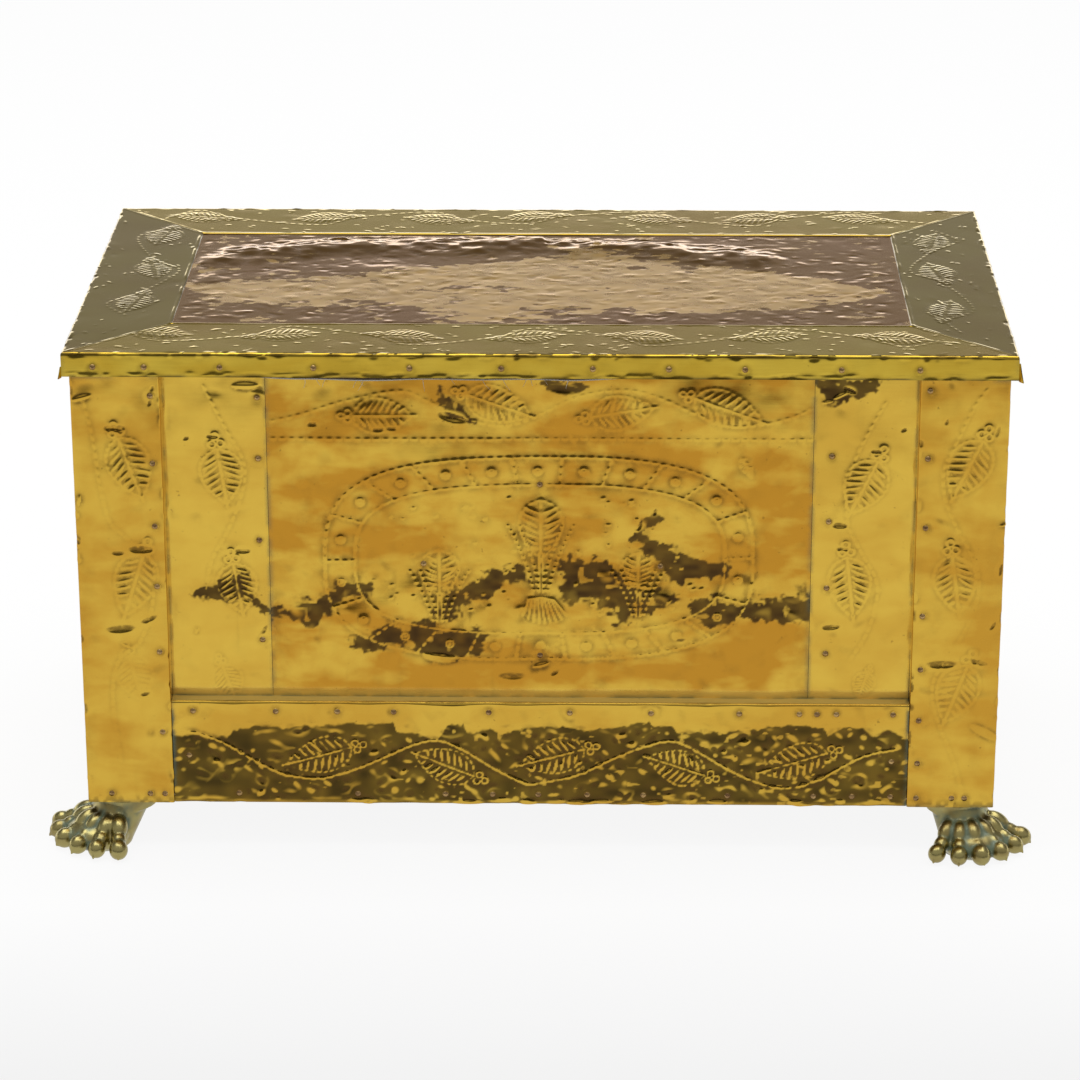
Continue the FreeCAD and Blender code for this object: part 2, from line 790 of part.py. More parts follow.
def build_lid_lining():
    """Cloth stuck under the lid, from near its front edge to the back board."""
    side = "half_lid - lining_margin"
    low = (f"0 - ({side})", "lining_margin - half_lid_depth", "rim")
    keep(block("lid_lining", low, (side, "inner_back - lining_margin", "lid_under")))


def build_lid_top_sheet():
    low = ("0 - half_lid", "0 - half_lid_depth", "lid_over")
    high = ("half_lid", "half_lid_depth", "lid_over + sheet_metal")
    keep(block("lid_top_sheet", low, high))


def build_border(name, plan, leg):
    """Mitred border strip on the lid with a leg turned down over the lid's edge."""
    body = doc.addObject("PartDesign::Body", name + "_body")
    pad(body, outline(body, name + "_plan", "XY_Plane", plan), "sheet_metal")
    deep = "lid_board + sheet_metal"
    pad(body, outline(body, name + "_leg", "XY_Plane", leg), deep, reverse=True)
    place(body, 0, 0, "lid_over + sheet_metal")
    keep(cut(name, body, [lid_holes]))


def build_borders():
    for side, end in ((-1, "front"), (1, "back")):
        edge, inner = mirrored(side, "lid_edge_y"), mirrored(side, "border_y")
        wood, left = mirrored(side, "half_lid_depth"), "0 - lid_edge_x"
        plan = [(left, edge), ("lid_edge_x", edge), ("border_x", inner), ("0 - border_x", inner)]
        leg = [(left, edge), ("lid_edge_x", edge), ("lid_edge_x", wood), (left, wood)]
        build_border(f"lid_{end}_border", plan, leg)
    for side in sides:
        edge, inner = mirrored(side, "lid_edge_x"), mirrored(side, "border_x")
        wood, near, far = mirrored(side, "half_lid"), "0 - half_lid_depth", "half_lid_depth"
        plan = [(edge, "0 - lid_edge_y"), (edge, "lid_edge_y"), (inner, "border_y"), (inner, "0 - border_y")]
        leg = [(edge, near), (edge, far), (wood, far), (wood, near)]
        build_border(f"lid_{side_name(side)}_border", plan, leg)


# Hinges


def hinge_left_end(side):
    return "hinge_start" if side > 0 else "0 - hinge_start - hinge_length"


def knuckle_gap(index):
    """Ends of the gap that one leaf leaves for a knuckle of the other."""
    low = f"{index} * knuckle_length - knuckle_gap / 2" if index else "0 - cut_overrun"
    high = f"{index + 1} * knuckle_length + knuckle_gap / 2"
    return low, high if index < KNUCKLE_COUNT - 1 else "hinge_length + cut_overrun"


def countersinks(name, direction):
    wide, narrow, deep = "hinge_hole_radius + countersink", "hinge_hole_radius", "countersink"
    inwards = Vector(0, 0, -direction)
    cones = [
        Part.makeCone(number(wide), number(narrow), number(deep), Vector(*point), inwards)
        for point, way in hinge_screw_spots(direction)
    ]
    return group(name, cones)


def build_leaf(side, owner):
    """One leaf of a butt hinge with its own share of the knuckles, let in flush."""
    name = f"{side_name(side)}_hinge_{owner}_leaf"
    body = doc.addObject("PartDesign::Body", name + "_body")
    direction = 1 if owner == "case" else -1
    near, far = mirrored(-direction, "lining / 2"), mirrored(-direction, "lining / 2 + leaf_metal")
    inner, length = "0 - leaf_width", "hinge_length"
    plate = [(inner, near), ("0", near), ("0", far), (inner, far)]
    pad(body, outline(body, name + "_plate", "YZ_Plane", plate), length)
    pad(body, circle(body, name + "_barrel", "YZ_Plane", ("0", "0"), "knuckle_radius"), length)
    bore = "hinge_pin_radius + running_clearance"
    pocket(body, circle(body, name + "_bore", "YZ_Plane", ("0", "0"), bore))
    room = "knuckle_radius + gain_clearance"
    for index in range(1 if owner == "case" else 0, KNUCKLE_COUNT, 2):
        low, high = knuckle_gap(index)
        gap = [(low, f"0 - ({room})"), (high, f"0 - ({room})"), (high, room), (low, room)]
        pocket(body, outline(body, f"{name}_gap_{index}", "XY_Plane", gap))
    place(body, hinge_left_end(side), "hinge_y", "hinge_z")
    through = case_screw_holes if owner == "case" else lid_screw_holes
    keep(cut(name, body, [through, countersinks(name + "_sinks", direction)]))


def build_hinge(side):
    build_leaf(side, "case")
    build_leaf(side, "lid")
    pin = doc.addObject("Part::Cylinder", f"{side_name(side)}_hinge_pin")
    bind(pin, Radius="hinge_pin_radius", Height="hinge_length")
    pin.Placement = Placement(Vector(0, 0, 0), Rotation(Vector(0, 0, 1), Vector(1, 0, 0)))
    keep(place(pin, hinge_left_end(side), "hinge_y", "hinge_z"))


# Paw feet


def make_toe():
    """One toe turned about its own axis: root, knuckle, neck, ball and a blunt claw."""
    body = doc.addObject("PartDesign::Body", "toe_master")
    sketch = new_sketch(body, "toe_half", "XZ_Plane")
    root = ("0", "toe_root_radius")
    knuckle = (f"toe_run * {TOE_KNUCKLE_SHARE}", "toe_knuckle_radius")
    neck = (f"toe_run * {TOE_NECK_SHARE}", "toe_neck_radius")
    ball = ("toe_run", "toe_ball_radius")
    claw = ("toe_run + claw_back", "claw_radius")
    tip = ("toe_run + claw_back + claw_length", "claw_tip_radius")
    ends = [("0", "0"), root, neck, claw, tip, (tip[0], "0")]
    p = [Vector(number(x), number(y), 0) for x, y in ends]
    bulges = {1: knuckle, 2: ball}
    for i in range(len(p)):
        far = p[(i + 1) % len(p)]
        if i in bulges:
            middle = Vector(*[number(c) for c in bulges[i]], 0)
            sketch.addGeometry(Part.Arc(p[i], middle, far), False)
        else:
            sketch.addGeometry(Part.LineSegment(p[i], far), False)
    # an arc runs anticlockwise, so here it starts at its far end
    first, last = [[b if i in bulges else a for i in range(len(p))] for a, b in ((1, 2), (2, 1))]
    for i, (x, y) in enumerate(ends):
        after = (i + 1) % len(p)
        sketch.addConstraint(Sketcher.Constraint("Coincident", i, last[i], after, first[after]))
        fix_point(sketch, i, first[i], x, y)
    for arc, (x, y) in bulges.items():
        point = sketch.addGeometry(Part.Point(Vector(number(x), number(y), 0)), True)
        fix_point(sketch, point, 1, x, y)
        sketch.addConstraint(Sketcher.Constraint("PointOnObject", point, 1, arc))
    turned(body, sketch, "H_Axis")
    return body


def make_leg():
    """The leg under its swelled collar, drawn forward to the sole."""
    rings = {
        "ankle": ("ankle_radius", "0", "foot_height"),
        "collar": ("collar_radius", "0", "foot_height - collar_height / 2"),
        "collar_foot": ("ankle_radius", "0", "foot_height - collar_height"),
        "throat": ("throat_radius", "0", "foot_height - collar_height"),
        "instep": ("instep_radius", "instep_forward", "instep_height"),
        "sole": ("sole_radius", "sole_forward", "0"),
    }
    sections = []
    for name, (radius, forward, height) in rings.items():
        ring = doc.addObject("Part::Circle", name + "_section")
        sections.append(place(bind(ring, Radius=radius), forward, 0, height))
    parts = []
    for name, chosen in (("collar", sections[:3]), ("leg", sections[3:])):
        loft = doc.addObject("Part::Loft", "paw_" + name)
        loft.Sections = chosen
        loft.Solid = True
        parts.append(loft)
    return parts


def make_paw():
    """A paw that points along +X, its leg on the Z axis and its sole on the floor."""
    toe = make_toe()
    slope = math.atan2(number("toe_fall"), number("toe_span"))
    toes = []
    for index in range(TOE_COUNT):
        turn = math.radians(number("toe_spread")) * (index - (TOE_COUNT - 1) / 2)
        ahead = Vector(math.cos(turn), math.sin(turn), 0)
        along = ahead * math.cos(slope) - Vector(0, 0, math.sin(slope))
        root = Vector(number("fan_forward"), 0, number("toe_top")) + ahead * number("toe_start")
        copy = doc.addObject("Part::Compound", f"toe_{index}")
        copy.Links = [toe]
        copy.Placement = Placement(root, Rotation(Vector(1, 0, 0), along))
        toes.append(copy)
    whole = doc.addObject("Part::MultiFuse", "paw_whole")
    whole.Shapes = make_leg() + toes
    wide = "2 * (toe_reach + fan_forward + ankle_radius)"
    slab = block("paw_slab", (f"0 - {wide}", f"0 - {wide}", "0"), (wide, wide, "foot_height"))
    flat = doc.addObject("Part::Common", "paw_flat")
    flat.Base = whole
    flat.Tool = slab
    hole = doc.addObject("Part::Cylinder", "paw_stud_hole")
    depth = "stud_in_foot + hole_clearance"
    bind(hole, Radius="stud_radius + hole_clearance", Height=f"{depth} + cut_overrun")
    place(hole, 0, 0, f"foot_height - ({depth})")
    return cut("paw", flat, [hole])


def build_feet():
    """Four like feet on the corners, each turned a little on its stud."""
    paw = make_paw()
    for end, sy in (("front", -1), ("back", 1)):
        for sx in sides:
            corner = f"{end}_{side_name(sx)}"
            foot = doc.addObject("Part::Compound", corner + "_paw")
            foot.Links = [paw]
            turn = math.degrees(math.atan2(sy, sx)) - number(corner + "_twist")
            foot.Placement = Placement(Vector(0, 0, 0), Rotation(Vector(0, 0, 1), turn))
            keep(place(foot, mirrored(sx, "foot_x"), mirrored(sy, "foot_y"), 0))


def build_fasteners():
    front = panel_spots(-1) + panel_spots(1) + medallion_spots()
    keep(group("front_sheet_pins", placed(pin_master, front)))
    stile = [p for s in sides for p in stile_spots(s) + wrap_spots(s)]
    keep(group("stile_pins", placed(pin_master, stile)))
    keep(group("rail_pins", placed(pin_master, rail_spots())))
    end = [p for s in sides for p in end_spots(s) + back_spots(s)]
    keep(group("end_pins", placed(pin_master, end)))
    keep(group("lid_pins", placed(pin_master, lid_spots())))
    keep(group("hinge_case_screws", placed(hinge_screw_master, hinge_screw_spots(1))))
    keep(group("hinge_lid_screws", placed(hinge_screw_master, hinge_screw_spots(-1))))
    keep(group("carcass_nails", placed(nail_master, nail_spots())))
    keep(group("foot_studs", placed(stud_master, stud_spots())))


build_carcass()
build_battens()
build_rail()
build_front_sheets()
build_rail_sheet()
for hand in sides:
    build_end_board(hand)
    build_stile(hand)
    build_stile_sheet(hand)
    build_end_sheet(hand)
    build_hinge(hand)
build_lid_board()
build_lid_lining()
build_lid_top_sheet()
build_borders()
build_feet()
build_fasteners()
doc.recompute()

faults = [f"{o.Label}: {o.State}" for o in doc.Objects if {"Invalid", "Error"} & set(o.State)]
faults += [f"{n.Label}: bad shape" for n in nodes if n.Shape.isNull() or not n.Shape.isValid()]
if faults:
    raise SystemExit("not built: " + "; ".join(faults))

os.makedirs("parts", exist_ok=True)
for node in nodes:
    node.Shape.exportStep(os.path.join("parts", node.Label + ".step"))
    print(f"{node.Label}: {len(node.Shape.Solids)} solids, {node.Shape.Volume / 1000:.1f} cm3")
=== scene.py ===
import math

import bpy
import numpy as np
from mathutils import Euler, Matrix, Vector


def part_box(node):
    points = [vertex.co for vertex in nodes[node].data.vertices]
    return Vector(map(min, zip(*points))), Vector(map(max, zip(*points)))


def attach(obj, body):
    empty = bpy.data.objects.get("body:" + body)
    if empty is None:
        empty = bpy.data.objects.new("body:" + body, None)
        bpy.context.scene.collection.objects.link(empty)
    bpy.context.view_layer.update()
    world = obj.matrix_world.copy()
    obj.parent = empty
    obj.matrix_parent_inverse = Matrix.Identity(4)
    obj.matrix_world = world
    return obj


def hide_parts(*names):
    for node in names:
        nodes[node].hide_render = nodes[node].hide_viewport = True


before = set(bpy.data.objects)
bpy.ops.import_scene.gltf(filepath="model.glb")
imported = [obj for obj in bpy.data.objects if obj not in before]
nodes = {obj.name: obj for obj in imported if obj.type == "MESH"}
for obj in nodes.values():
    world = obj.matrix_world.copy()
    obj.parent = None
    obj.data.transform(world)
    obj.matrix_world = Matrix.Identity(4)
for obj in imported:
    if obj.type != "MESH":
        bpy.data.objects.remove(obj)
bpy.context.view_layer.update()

mm = 0.001
print("frame loaded")


def boxOf(name):
    low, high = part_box(name)
    return np.array(low) / mm, np.array(high) / mm


def clearSelection():
    if bpy.context.mode != "OBJECT":
        bpy.ops.object.mode_set(mode="OBJECT")
    bpy.ops.object.select_all(action="DESELECT")


def joinAll(items):
    clearSelection()
    for item in items:
        item.select_set(True)
    bpy.context.view_layer.objects.active = items[0]
    bpy.ops.object.join()
    return bpy.context.object


def faceOutward():
    bpy.ops.object.mode_set(mode="EDIT")
    bpy.ops.mesh.select_all(action="SELECT")
    bpy.ops.mesh.normals_make_consistent(inside=False)
    bpy.ops.object.mode_set(mode="OBJECT")


def thicken(piece, thick, offset, rimOnly=False):
    bpy.ops.object.modifier_add(type="SOLIDIFY")
    shell = piece.modifiers[-1]
    shell.thickness = thick * mm
    shell.offset = offset
    shell.use_rim_only = rimOnly
    bpy.ops.object.modifier_apply(modifier=shell.name)


def readPoints(mesh, field="co"):
    values = np.zeros(len(mesh.vertices) * 3)
    mesh.vertices.foreach_get(field, values)
    return values.reshape(-1, 3)


def ease(t):
    t = np.clip(t, 0, 1)
    return t * t * (3 - 2 * t)


# Middles of a node's loose shells, one for each pin.
def pinPlaces(name):
    mesh = nodes[name].data
    points = readPoints(mesh) / mm
    corners = np.zeros(len(mesh.polygons) * 3, int)
    mesh.polygons.foreach_get("vertices", corners)
    same = np.unique(np.round(points, 2), axis=0, return_inverse=True)[1].ravel()
    triangles = same[corners].reshape(-1, 3)
    shell = np.arange(same.max() + 1)
    before = None
    while before is None or (shell != before).any():
        before = shell.copy()
        least = shell[triangles].min(1)
        for k in range(3):
            np.minimum.at(shell, triangles[:, k], least)
    owner = shell[same]
    groups = [points[owner == k] for k in np.unique(owner)]
    return np.array([(group.min(0) + group.max(0)) / 2 for group in groups])


# A bent sheet's outer line: straight runs with each right-angled fold rounded. The last length given by
# closer has three times as many places.
def foldedLine(corners, radius, step, side, closer=0):
    corners = [np.array(c, float) for c in corners]
    points = [corners[0]]
    for before, corner, after in zip(corners, corners[1:], corners[2:]):
        back = (before - corner) / np.linalg.norm(before - corner)
        on = (after - corner) / np.linalg.norm(after - corner)
        centre = corner + (back + on) * radius
        for turn in np.linspace(0, math.pi / 2, 9):
            points.append(centre - radius * (on * math.cos(turn) + back * math.sin(turn)))
    points.append(corners[-1])
    points = np.array(points)
    run = np.concatenate([[0], np.cumsum(np.linalg.norm(np.diff(points, axis=0), axis=1))])
    at = np.linspace(0, run[-1] - closer, max(2, int(round((run[-1] - closer) / step)) + 1))
    if closer:
        fine = np.linspace(run[-1] - closer, run[-1], int(round(closer / step * 3)) + 1)
        at = np.concatenate([at, fine[1:]])
    place = lambda s: np.stack([np.interp(s, run, points[:, k]) for k in (0, 1)], axis=1)
    ahead = place(np.minimum(at + 0.2, run[-1])) - place(np.maximum(at - 0.2, 0))
    ahead /= np.linalg.norm(ahead, axis=1)[:, None]
    normal = side * np.stack([ahead[:, 1], -ahead[:, 0]], axis=1)
    return at, place(at), normal


# A relief is the sheet's flat places u and v, the fine rise h and the broad swell over them, all in mm.
def newRelief(u, v):
    return {"u": u, "v": v, "h": np.zeros(u.shape), "swell": np.zeros(u.shape)}


def stamp(relief, at, reach, shape):
    du = relief["u"] - at[0]
    dv = relief["v"] - at[1]
    near = (np.abs(du) < reach) & (np.abs(dv) < reach)
    relief["h"][near] += shape(du[near], dv[near])


def lobe(relief, at, length, width, turn, rise):
    c, s = math.cos(turn), math.sin(turn)

    def shape(du, dv):
        a = (du * c + dv * s) / (length / 2)
        b = (dv * c - du * s) / (width / 2)
        return rise * np.clip(1 - a * a - b * b, 0, None) ** 1.1

    stamp(relief, at, max(length, width), shape)


# A lobe drawn at random from spans of length, width and rise, its turn spread about level.
def lump(relief, rng, at, long, wide, rise, turn=0):
    size = rng.uniform(*long), rng.uniform(*wide)
    lobe(relief, at, *size, rng.normal(0, turn) if turn else 0, rng.uniform(*rise))


def ring(relief, at, radius, rise):
    def shape(du, dv):
        d = np.hypot(du, dv) / radius
        return rise * (np.exp(-((d - 1) / 0.4) ** 2) + 0.5 * np.exp(-((d / 0.34) ** 2)))

    stamp(relief, at, 2.4 * radius, shape)


# A raised line along points, cut into dashes where a beat is given.
def ridge(relief, points, width, rise, beat=0.0, depth=0.0):
    points = np.array(points, float)
    low, high = points.min(0) - 3 * width, points.max(0) + 3 * width
    u, v = relief["u"], relief["v"]
    near = (u > low[0]) & (u < high[0]) & (v > low[1]) & (v < high[1])
    spot = np.stack([u[near], v[near]], axis=1)
    best = np.full(len(spot), 1e3)
    along = np.zeros(len(spot))
    run = 0.0
    for a, b in zip(points, points[1:]):
        step = b - a
        long = max(1e-6, float(np.linalg.norm(step)))
        share = np.clip((spot - a) @ step / long ** 2, 0, 1)
        gap = np.linalg.norm(spot - a - share[:, None] * step, axis=1)
        closer = gap < best
        best = np.where(closer, gap, best)
        along = np.where(closer, run + share * long, along)
        run += long
    swell = rise * np.exp(-((best / width) ** 2))
    if beat:
        swell *= 1 - depth * ease(1.2 * np.abs(2 * ((along / beat) % 1) - 1) - 0.25)
    relief["h"][near] += swell


def smoothLine(points, each=10):
    points = np.array(points, float)
    ends = np.vstack([2 * points[0] - points[1], points, 2 * points[-1] - points[-2]])
    out = []
    for k in range(1, len(ends) - 2):
        a, b, c, d = ends[k - 1:k + 3]
        for t in np.arange(each) / each:
            out.append(0.5 * (2 * b + (c - a) * t + (2 * a - 5 * b + 4 * c - d) * t ** 2
                              + (3 * b - a - 3 * c + d) * t ** 3))
    out.append(points[-1])
    return np.array(out)


def evenPlaces(points, spacing):
    points = np.array(points, float)
    run = np.concatenate([[0], np.cumsum(np.linalg.norm(np.diff(points, axis=0), axis=1))])
    count = max(1, int(round(run[-1] / spacing)))
    at = (np.arange(count) + 0.5) / count * run[-1]
    x, y = (np.interp(at, run, points[:, k]) for k in (0, 1))
    ahead, behind = at + 0.5, at - 0.5
    dx, dy = (np.interp(ahead, run, points[:, k]) - np.interp(behind, run, points[:, k]) for k in (0, 1))
    return list(zip(x, y, np.arctan2(dy, dx)))


def dashes(relief, points, spacing, length, width, rise):
    for x, y, turn in evenPlaces(points, spacing):
        lobe(relief, (x, y), length, width, turn, rise)


stemForm = dict(width=0.95, beat=6.2, depth=0.95)


def vine(relief, points, rise):
    ridge(relief, smoothLine(points), stemForm["width"], rise, stemForm["beat"], stemForm["depth"])


# A pressed leaf: a low swell, a midrib, oblong lobes on each side and a raised edge. The rib and the edge
# list their width, share of the leaf's rise, beat and depth of cut.
leafForm = dict(wide=30, swell=0.45, lobes=7, lean=math.radians(62), lobeWidth=3.3, lobeRise=(0.5, 1.15),
                rib=(0.95, 0.6, 7, 0.5), edge=(0.95, 0.4, 4.6, 0.7))


def leaf(relief, base, turn, length, width, rise, lean=leafForm["lean"]):
    rng = np.random.default_rng(int(abs(base[0]) * 10 + abs(base[1])))
    ahead = np.array([math.cos(turn), math.sin(turn)])
    side = np.array([-ahead[1], ahead[0]])
    half = lambda share: width / 2 * max(0.0, math.sin(math.pi * share ** 0.74)) ** 0.8
    spot = lambda share, out: np.array(base) + ahead * share * length + side * out
    lobe(relief, spot(0.45, 0), 1.05 * length, 1.05 * width, turn, leafForm["swell"] * rise)
    lineWidth, part, beat, depth = leafForm["rib"]
    ridge(relief, [spot(0.0, 0), spot(1.06, 0)], lineWidth, part * rise, beat, depth)
    scale = width / leafForm["wide"]
    for k in range(leafForm["lobes"]):
        share = 0.12 + 0.74 * k / leafForm["lobes"]
        for sign in (-1, 1):
            reach = half(share + 0.04) - 2.6 * scale
            if reach > 1.6:
                at = spot(share + 0.06, sign * (1.5 * scale + 0.5 * reach))
                swing = sign * (lean + rng.normal(0, 0.08))
                height = rise * rng.uniform(*leafForm["lobeRise"])
                lobe(relief, at, 1.2 * reach, leafForm["lobeWidth"] * scale, turn + swing, height)
    lineWidth, part, beat, depth = leafForm["edge"]
    for sign in (-1, 1):
        edge = [spot(t, sign * half(t)) for t in np.linspace(0.0, 1, 13)]
        ridge(relief, edge, lineWidth, part * rise, beat, depth)


# Three ringed berries behind a leaf's foot, placed in berry sizes back from it and to its sides.
berryForm = dict(size=2.4, share=0.8, places=((-1.5, 1.25), (-1.5, -1.25), (-3.9, 0)))


def sprig(relief, base, turn, length, width, rise):
    leaf(relief, base, turn, length, width, rise)
    ahead = np.array([math.cos(turn), math.sin(turn)])
    side = np.array([-ahead[1], ahead[0]])
    size = berryForm["size"] * width / leafForm["wide"]
    for back, out in berryForm["places"]:
        ring(relief, np.array(base) + size * (ahead * back + side * out), size, berryForm["share"] * rise)


# Years of knocks: shallow sways, then rounder dents of mixed size.
def sway(relief, seed, waves):
    rng = np.random.default_rng(seed)
    for length, rise, count in waves:
        for _ in range(count):
            turn, phase = rng.uniform(0, math.pi), rng.uniform(0, 2 * math.pi)
            across = relief["u"] * math.cos(turn) + relief["v"] * math.sin(turn)
            pace = 2 * math.pi / (length * rng.uniform(0.7, 1.4))
            relief["swell"] += rise * np.sin(across * pace + phase) / math.sqrt(count)


def dents(relief, seed, count, sizes, depths, ups=0.3):
    rng = np.random.default_rng(seed)
    low = (relief["u"].min(), relief["v"].min())
    high = (relief["u"].max(), relief["v"].max())
    for _ in range(count):
        at = (rng.uniform(low[0], high[0]), rng.uniform(low[1], high[1]))
        size, long = rng.uniform(*sizes), rng.uniform(1, 2.4)
        turn = rng.uniform(-0.9, 0.9)
        depth = rng.uniform(*depths) * (1 if rng.uniform() < ups else -1)
        c, s = math.cos(turn), math.sin(turn)

        def shape(du, dv):
            a = (du * c + dv * s) / (size * long)
            b = (dv * c - du * s) / size
            return depth * np.exp(-(a * a + b * b))

        stamp(relief, at, 2.6 * size * long, shape)


# Smooth random lumps of about the given size, from -1 to 1.
def clouds(u, v, seed, size, long=1.0):
    a, b = (u - u.min()) / (size * long), (v - v.min()) / size
    lumps = np.random.default_rng(seed).uniform(-1, 1, (int(a.max()) + 3, int(b.max()) + 3))
    i, j = a.astype(int), b.astype(int)
    s, t = ease(a - i), ease(b - j)
    low = lumps[i, j] * (1 - s) + lumps[i + 1, j] * s
    high = lumps[i, j + 1] * (1 - s) + lumps[i + 1, j + 1] * s
    return low * (1 - t) + high * t


# Several layers of such lumps, each by height, step of the seed, size and stretch.
def layers(u, v, seed, lumps):
    return sum(rise * clouds(u, v, seed + k, size, long) for rise, k, size, long in lumps)


# How far each place lies inside an outline, in mm; outside counts below zero.
def insideOf(u, v, outline):
    away = np.full(u.shape, 1e6)
    within = np.zeros(u.shape, bool)
    for (ax, ay), (bx, by) in zip(outline, outline[1:] + outline[:1]):
        dx, dy = bx - ax, by - ay
        share = np.clip(((u - ax) * dx + (v - ay) * dy) / (dx * dx + dy * dy), 0, 1)
        away = np.minimum(away, np.hypot(u - ax - share * dx, v - ay - share * dy))
        within ^= ((ay > v) != (by > v)) & (u < dx * (v - ay) / (dy or 1e-9) + ax)
    return np.where(within, away, -away)


# Painted dark reflections, ragged, inside outlines given by the photograph, with small bare places left in
# them.
darkReflectionForm = dict(frayed=((3.0, 0, 9, 1.5), (3.4, 1, 4, 1.3), (2.0, 2, 2, 1)), edge=2.6,
                   bare=0.85, bareFrom=0.6, bareEdge=0.15)


def darkReflectionAt(relief, place, outlines, seed):
    u, v = relief["u"], relief["v"]
    ragged = layers(u, v, seed, darkReflectionForm["frayed"])
    patch = np.full(u.shape, -50.0)
    for outline in outlines:
        patch = np.maximum(patch, insideOf(u, v, spots(place, outline)))
    bare = ease((clouds(u, v, seed + 3, 4.5, 1.4) - darkReflectionForm["bareFrom"]) / darkReflectionForm["bareEdge"])
    dark = ease((patch + ragged) / darkReflectionForm["edge"] + 0.5) * (1 - darkReflectionForm["bare"] * bare)
    relief["tarnish"] = dark * (0.92 + 0.08 * clouds(u, v, seed + 4, 4, 1.6))


# A band where the sheet bulges over: below the line it stands out, and falls back again lower down.
def bulge(relief, line, rise, width, fall, seed, rough=1.0, span=(-1e3, 1e3), fade=20):
    rng = np.random.default_rng(seed)
    xs, tops = np.array(line, float).T
    smooth = np.interp(relief["u"], xs, tops)
    ragged = smooth.copy()
    for length, amount in ((47, 3.0), (23, 2.2)):
        ragged += rough * amount * np.sin(relief["u"] * 2 * math.pi / length + rng.uniform(0, 6.3))
    within = ease((relief["u"] - span[0]) / fade) * ease((span[1] - relief["u"]) / fade)
    back = ease((smooth - width - relief["v"]) / fall)
    relief["swell"] += within * rise * ease((ragged - relief["v"]) / width) * (1 - back)


# The sheet is drawn tight at each pin, and a dark ring of dirt and painted shade lies round its head.
pinForm = dict(pull=0.2, reach=5, head=2.4, flat=2.6, calm=26, dirt=0.8, ring=2.3, ringWidth=0.6)


def seatPins(relief, places):
    away = np.full(relief["h"].shape, 50.0)
    for at in places:
        away = np.minimum(away, np.hypot(relief["u"] - at[0], relief["v"] - at[1]))
    relief["pinned"] = away
    under = 1 - np.exp(-((away / pinForm["head"]) ** 4))
    pull = pinForm["pull"] * np.exp(-((away / pinForm["reach"]) ** 2)) * under
    relief["h"] = relief["h"] * ease((away - pinForm["flat"]) / pinForm["reach"]) - pull
    relief["swell"] *= ease((away - 2) / pinForm["calm"])


def softened(values, reach):
    weights = np.hanning(2 * reach + 3)[1:-1]
    weights /= weights.sum()
    mean = lambda row: np.convolve(np.pad(row, reach, mode="edge"), weights, mode="valid")
    return np.apply_along_axis(mean, 1, np.apply_along_axis(mean, 0, values))


# A sheet's wear and painted shade are read off its relief: hollows, dark with dirt and painted shade, and
# rubbed crests by depth, and seams by grid steps from its edge.
sheetForm = dict(thick=0.6, deepest=-0.55, blur=5, hollow=0.13, crest=0.1, seam=2.2, smooth=math.radians(45))


# Makes a sheet from a grid of outer places, normals and a relief. The first grid axis runs to the
# right and the second up, as seen from outside.
def makeSheet(name, node, body, material, base, normal, relief, deepest=sheetForm["deepest"]):
    clearSelection()
    columns, rows = relief["h"].shape
    bpy.ops.mesh.primitive_grid_add(x_subdivisions=columns - 1, y_subdivisions=rows - 1, size=2)
    piece = bpy.context.object
    piece.name = piece.data.name = name
    flat = readPoints(piece.data)
    i = np.rint((flat[:, 0] + 1) / 2 * (columns - 1)).astype(int)
    j = np.rint((flat[:, 1] + 1) / 2 * (rows - 1)).astype(int)
    h = np.maximum(relief["h"] + relief["swell"], deepest)
    places = (base + normal * h[:, :, None]) * mm
    piece.data.vertices.foreach_set("co", places[i, j].ravel())
    detail = softened(h, sheetForm["blur"]) - h
    hollow = np.clip(detail / sheetForm["hollow"], 0, 1)
    if "pinned" in relief:
        dirt = np.exp(-(((relief["pinned"] - pinForm["ring"]) / pinForm["ringWidth"]) ** 2))
        hollow = np.maximum(hollow, pinForm["dirt"] * dirt)
    fromEnds = lambda count: np.minimum(np.arange(count), np.arange(count)[::-1])
    edge = np.minimum.outer(fromEnds(columns), fromEnds(rows))
    # Crests keep little of the painted dark: rubbed bare, and so a painted highlight on the raised lines.
    bare = 1 - 0.9 * np.clip(-detail / sheetForm["crest"] - 0.2, 0, 1)
    blank = np.zeros(h.shape)
    marks = {"hollow": hollow,
             "seam": np.maximum(np.exp(-((edge / sheetForm["seam"]) ** 2)), relief.get("stain", blank)),
             "tarnish": relief.get("tarnish", blank) * bare,
             "dull": relief.get("dull", blank)}
    for title, values in marks.items():
        piece.data.attributes.new(title, "FLOAT", "POINT").data.foreach_set("value", values[i, j])
    piece.data.update()
    thicken(piece, sheetForm["thick"], -1, True)
    bpy.ops.object.shade_smooth_by_angle(angle=sheetForm["smooth"])
    piece.data.materials.append(material)
    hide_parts(node)
    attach(piece, body)


# Grids for a sheet bent round upright folds, whose line lies in plan, and round level folds,
# whose line lies in the end view.
def uprightGrid(line, low, high, step):
    at, places, normals = line
    z = np.linspace(low, high, int(round((high - low) / step)) + 1)
    base = np.zeros((len(at), len(z), 3))
    base[:, :, :2] = places[:, None, :]
    base[:, :, 2] = z[None, :]
    normal = np.zeros_like(base)
    normal[:, :, :2] = normals[:, None, :]
    return base, normal, at, z


def levelGrid(line, halves, step, turn=0.0):
    at, places, normals = line
    count = int(round(2 * halves.max() / step)) + 1
    share = np.linspace(-1, 1, count)
    base = np.zeros((count, len(at), 3))
    base[:, :, 0] = share[:, None] * halves[None, :]
    base[:, :, 1:] = places[None, :, :]
    normal = np.zeros_like(base)
    normal[:, :, 1:] = normals[None, :, :]
    u = base[:, :, 0].copy()
    c, s = math.cos(turn), math.sin(turn)
    for field in (base, normal):
        x, y = field[:, :, 0].copy(), field[:, :, 1].copy()
        field[:, :, 0] = c * x - s * y
        field[:, :, 1] = s * x + c * y
    return base, normal, u, at


